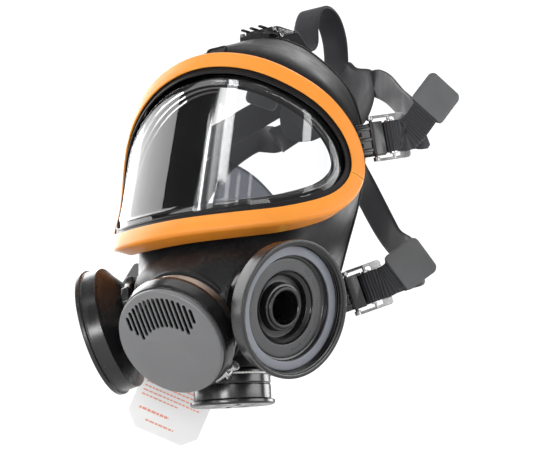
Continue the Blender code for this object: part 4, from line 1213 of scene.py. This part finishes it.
def make_print():
    """Plain red bars on both faces of the card; they stand for print and spell nothing."""
    points, faces = [], []

    def dab(left, right, low, high, height):
        base = len(points)
        for z in (height * 0.9, height * 1.08):
            points.extend([(left, low, z), (right, low, z), (right, high, z), (left, high, z)])
        faces.extend(tuple(base + i for i in face) for face in BOX_FACES)

    lines = [(-19, 19, 24.2, 1.2), (-20, 14, 20.6, 1.2), (-21, 12, 17.2, 0.9), (-21, 12, 14.4, 0.9),
             (-21, 19, 9.0, 1.6), (-21, 17, 5.4, 0.9), (-21, 18, 2.4, 0.9), (-21, 12, -0.6, 0.9),
             (-21, 19, -3.6, 0.9), (-21, 5, -6.6, 0.9), (-19, 2, -15.5, 1.5), (-12, 8, -22.0, 1.1)]
    for face_height in (0.335, -0.335):
        for n, (left, right, y, tall) in enumerate(lines):
            x, k = left, 0
            while x < right:
                word = 1.6 + 2.6 * abs(noise.noise(Vector((n * 3.7, k * 1.9, 0.5))))
                dab(x, min(x + word, right), y - tall / 2, y + tall / 2, face_height)
                x += word + 0.55
                k += 1
    give(new_object("card_bars", points, faces, INK, TAG_PLACE))


def make_tag_loop():
    """The twisted cord loop that holds the card: through its eyelet and round the exhalation valve."""
    hole = TAG_PLACE @ (Vector((*TAG_HOLE, 0)) * MM) / MM
    facing, text_way = TAG_PLACE.col[2].to_3d(), TAG_PLACE.col[0].to_3d()
    middle = Vector((0, VALVE_CENTRE.y, -93))
    start = math.atan2(hole.y - middle.y, hole.x - middle.x)
    arc = [start + math.radians(a) for a in range(48, 313, 12)]
    points = [hole + facing * 2] + [middle + polar(25.7, a).to_3d() for a in arc]
    points += [hole + text_way * 12 - facing * 3, hole - facing * 2]
    count = len(points)
    rows = []
    for k in range(count * 14):
        u = k / 14
        here = on_loop(points, u)
        ahead = (on_loop(points, u + 0.02) - on_loop(points, u - 0.02)).normalized()
        side = ahead.cross(Vector((0.3, 0.2, 1))).normalized()
        lift = ahead.cross(side)
        twist = k * 0.55
        rows.append([here + (side * math.cos(a) + lift * math.sin(a))
                     * (0.58 + 0.12 * math.cos(2 * (a - twist))) for a in turns(0, 360, 30)])
    give(loft("tag_cord_loop", rows, CORD, joined=True), "tag_loop")


# ---------------------------------------------------------------- what stays of the frame

def dress_screws():
    """The clamp ring's screws keep their frame shape and get a plated finish."""
    for name in ("lens_ring_screw_left", "lens_ring_screw_right"):
        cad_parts[name].material_slots[0].material = STEEL


# ---------------------------------------------------------------- stage

def look_at(place, target):
    z = (place - target).normalized()
    x = Vector((0, 0, 1)).cross(z).normalized()
    made = Matrix((x, z.cross(x), z)).transposed().to_4x4()
    made.translation = place
    return made


def softbox(name, place, target, width, height, radiance, diffuse, glossy):
    """An evenly bright panel that the camera itself doesn't see."""
    light = bpy.data.lights.new(name, "AREA")
    light.shape = "RECTANGLE"
    light.size, light.size_y = width, height
    light.energy = radiance * math.pi * width * height
    obj = bpy.data.objects.new(name, light)
    bpy.context.scene.collection.objects.link(obj)
    obj.matrix_world = look_at(Vector(place), Vector(target))
    obj.visible_camera = False
    obj.visible_diffuse = diffuse
    obj.visible_glossy = glossy


# Narrow panels that only show as streaks in the lens: name, place, width, height, radiance.
STREAKS = [
    ("streak_top", (-0.12, -1.11, 1.15), 0.19, 0.30, 6.5),
    ("streak_left", (-0.51, -1.09, 1.01), 0.04, 0.19, 7.0),
    ("streak_middle", (-0.31, -1.15, 1.03), 0.12, 0.22, 2.0),
    ("streak_second", (0.0, -1.21, 0.97), 0.07, 0.12, 2.4),
    ("streak_third", (0.2, -1.20, 0.97), 0.06, 0.12, 1.8),
    ("streak_fourth", (0.42, -1.15, 0.99), 0.05, 0.10, 2.0),
    ("streak_right", (1.15, -0.56, 0.96), 0.15, 0.17, 5.5),
    ("streak_low_right", (1.22, -0.56, 0.82), 0.3, 0.045, 4.0),
]


# Larger panels: name, place, target, width, height, radiance, and which rays see them.
MIDDLE = (0, -0.02, 0.02)
ALL_RAYS, ONLY_GLOSSY, ONLY_DIFFUSE = (True, True), (False, True), (True, False)
PANELS = [
    ("left_wall", (-1.35, 0.58, 0.72), (0, 0.58, 0.42), 2.6, 1.6, 4.4, ONLY_GLOSSY),
    ("left_back", (-1.30, 1.05, 0.72), (0, 0.70, 0.42), 1.5, 1.6, 1.5, ONLY_GLOSSY),
    ("top", (0.1, 0.2, 1.7), MIDDLE, 1.4, 1.1, 1.6, ALL_RAYS),
    ("right_wall", (1.75, 0.35, 0.45), MIDDLE, 1.1, 1.3, 1.7, ALL_RAYS),
    ("front_low", (-0.42, -1.25, 0.10), (0, -0.05, -0.04), 0.16, 0.85, 7.0, ALL_RAYS),
    ("key", (-0.5, -1.0, 1.3), MIDDLE, 0.9, 0.7, 3.6, ONLY_DIFFUSE),
    ("front_floor", (0.10, -0.72, -0.105), (0, -0.1, -0.07), 0.24, 0.13, 20.0, ONLY_GLOSSY),
    ("right_low", (1.3, 0.2, 0.0), (0, 0, -0.02), 1.2, 0.33, 5.0, ONLY_GLOSSY),
    ("back_low", (0.55, 1.25, 0.02), (0, 0, 0), 0.7, 0.36, 8.0, ONLY_GLOSSY),
    ("top_back", (0.0, 1.0, 1.15), (0, 0, 0), 0.6, 0.4, 4.0, ONLY_GLOSSY),
    ("front_right", (0.78, -1.25, 0.22), MIDDLE, 0.4, 0.5, 4.5, ONLY_GLOSSY),
]
FLOOR_HALF = 6.0
SKY_OTHERS, SKY_GLOSSY, SKY_SEEN = 0.90, 0.26, 1.15


def make_floor():
    nodes = Nodes("pale_floor")
    base = nodes.mixed(nodes.ranged(nodes.noise(3.0), 0.0, 1.0), (0.86, 0.86, 0.86), (0.90, 0.90, 0.90))
    nodes.link(base, nodes.shader.inputs["Base Color"])
    nodes.set(Roughness=0.9)
    mesh = bpy.data.meshes.new("floor")
    half = FLOOR_HALF
    corners = [(x, y, FLOOR_HEIGHT) for x, y in ((-half, -half), (half, -half), (half, half), (-half, half))]
    mesh.from_pydata(corners, [], [(0, 1, 2, 3)])
    mesh.materials.append(nodes.material)
    floor = bpy.data.objects.new("floor", mesh)
    bpy.context.scene.collection.objects.link(floor)


def make_world():
    """White all round, with one strength for the background, one in mirrors and one for the rest."""
    world = bpy.data.worlds.new("studio")
    bpy.context.scene.world = world
    world.use_nodes = True
    tree = world.node_tree
    path = tree.nodes.new("ShaderNodeLightPath")
    sky = tree.nodes["Background"]
    sky.inputs["Color"].default_value = (1, 1, 1, 1)
    sky.inputs["Strength"].default_value = SKY_OTHERS
    for ray, strength in (("Is Glossy Ray", SKY_GLOSSY), ("Is Camera Ray", SKY_SEEN)):
        special = tree.nodes.new("ShaderNodeBackground")
        special.inputs["Color"].default_value = (1, 1, 1, 1)
        special.inputs["Strength"].default_value = strength
        mix = tree.nodes.new("ShaderNodeMixShader")
        tree.links.new(path.outputs[ray], mix.inputs[0])
        tree.links.new(sky.outputs[0], mix.inputs[1])
        tree.links.new(special.outputs[0], mix.inputs[2])
        sky = mix
    tree.links.new(sky.outputs[0], tree.nodes["World Output"].inputs["Surface"])


def make_camera():
    scene = bpy.context.scene
    camera = bpy.data.cameras.new("camera")
    camera.lens = CAMERA_LENS
    camera.sensor_width = 36.0
    camera.clip_start, camera.clip_end = 0.01, 50.0
    holder = bpy.data.objects.new("camera", camera)
    scene.collection.objects.link(holder)
    made = Matrix((CAMERA_RIGHT, CAMERA_UP, CAMERA_RIGHT.cross(CAMERA_UP))).transposed().to_4x4()
    made.translation = CAMERA_PLACE
    holder.matrix_world = made
    scene.camera = holder


def make_stage():
    bpy.context.scene.view_settings.view_transform = "Standard"
    make_floor()
    make_world()
    for name, place, target, width, height, radiance, rays in PANELS:
        softbox(name, place, target, width, height, radiance, *rays)
    for name, place, width, height, radiance in STREAKS:
        softbox(name, place, MIDDLE, width, height, radiance, *ONLY_GLOSSY)
    make_camera()


def build():
    make_stage()
    make_lens()
    make_rim()
    make_facepiece()
    make_nose_cup()
    for side in ("left", "right"):
        make_receptacle(side)
        make_check_valve(side)
    make_speech_unit()
    make_exhalation_valve()
    for buckle in BUCKLES:
        make_bracket(buckle)
        make_buckle(buckle)
    make_pad()
    make_tag()
    make_tag_loop()
    dress_screws()


build()
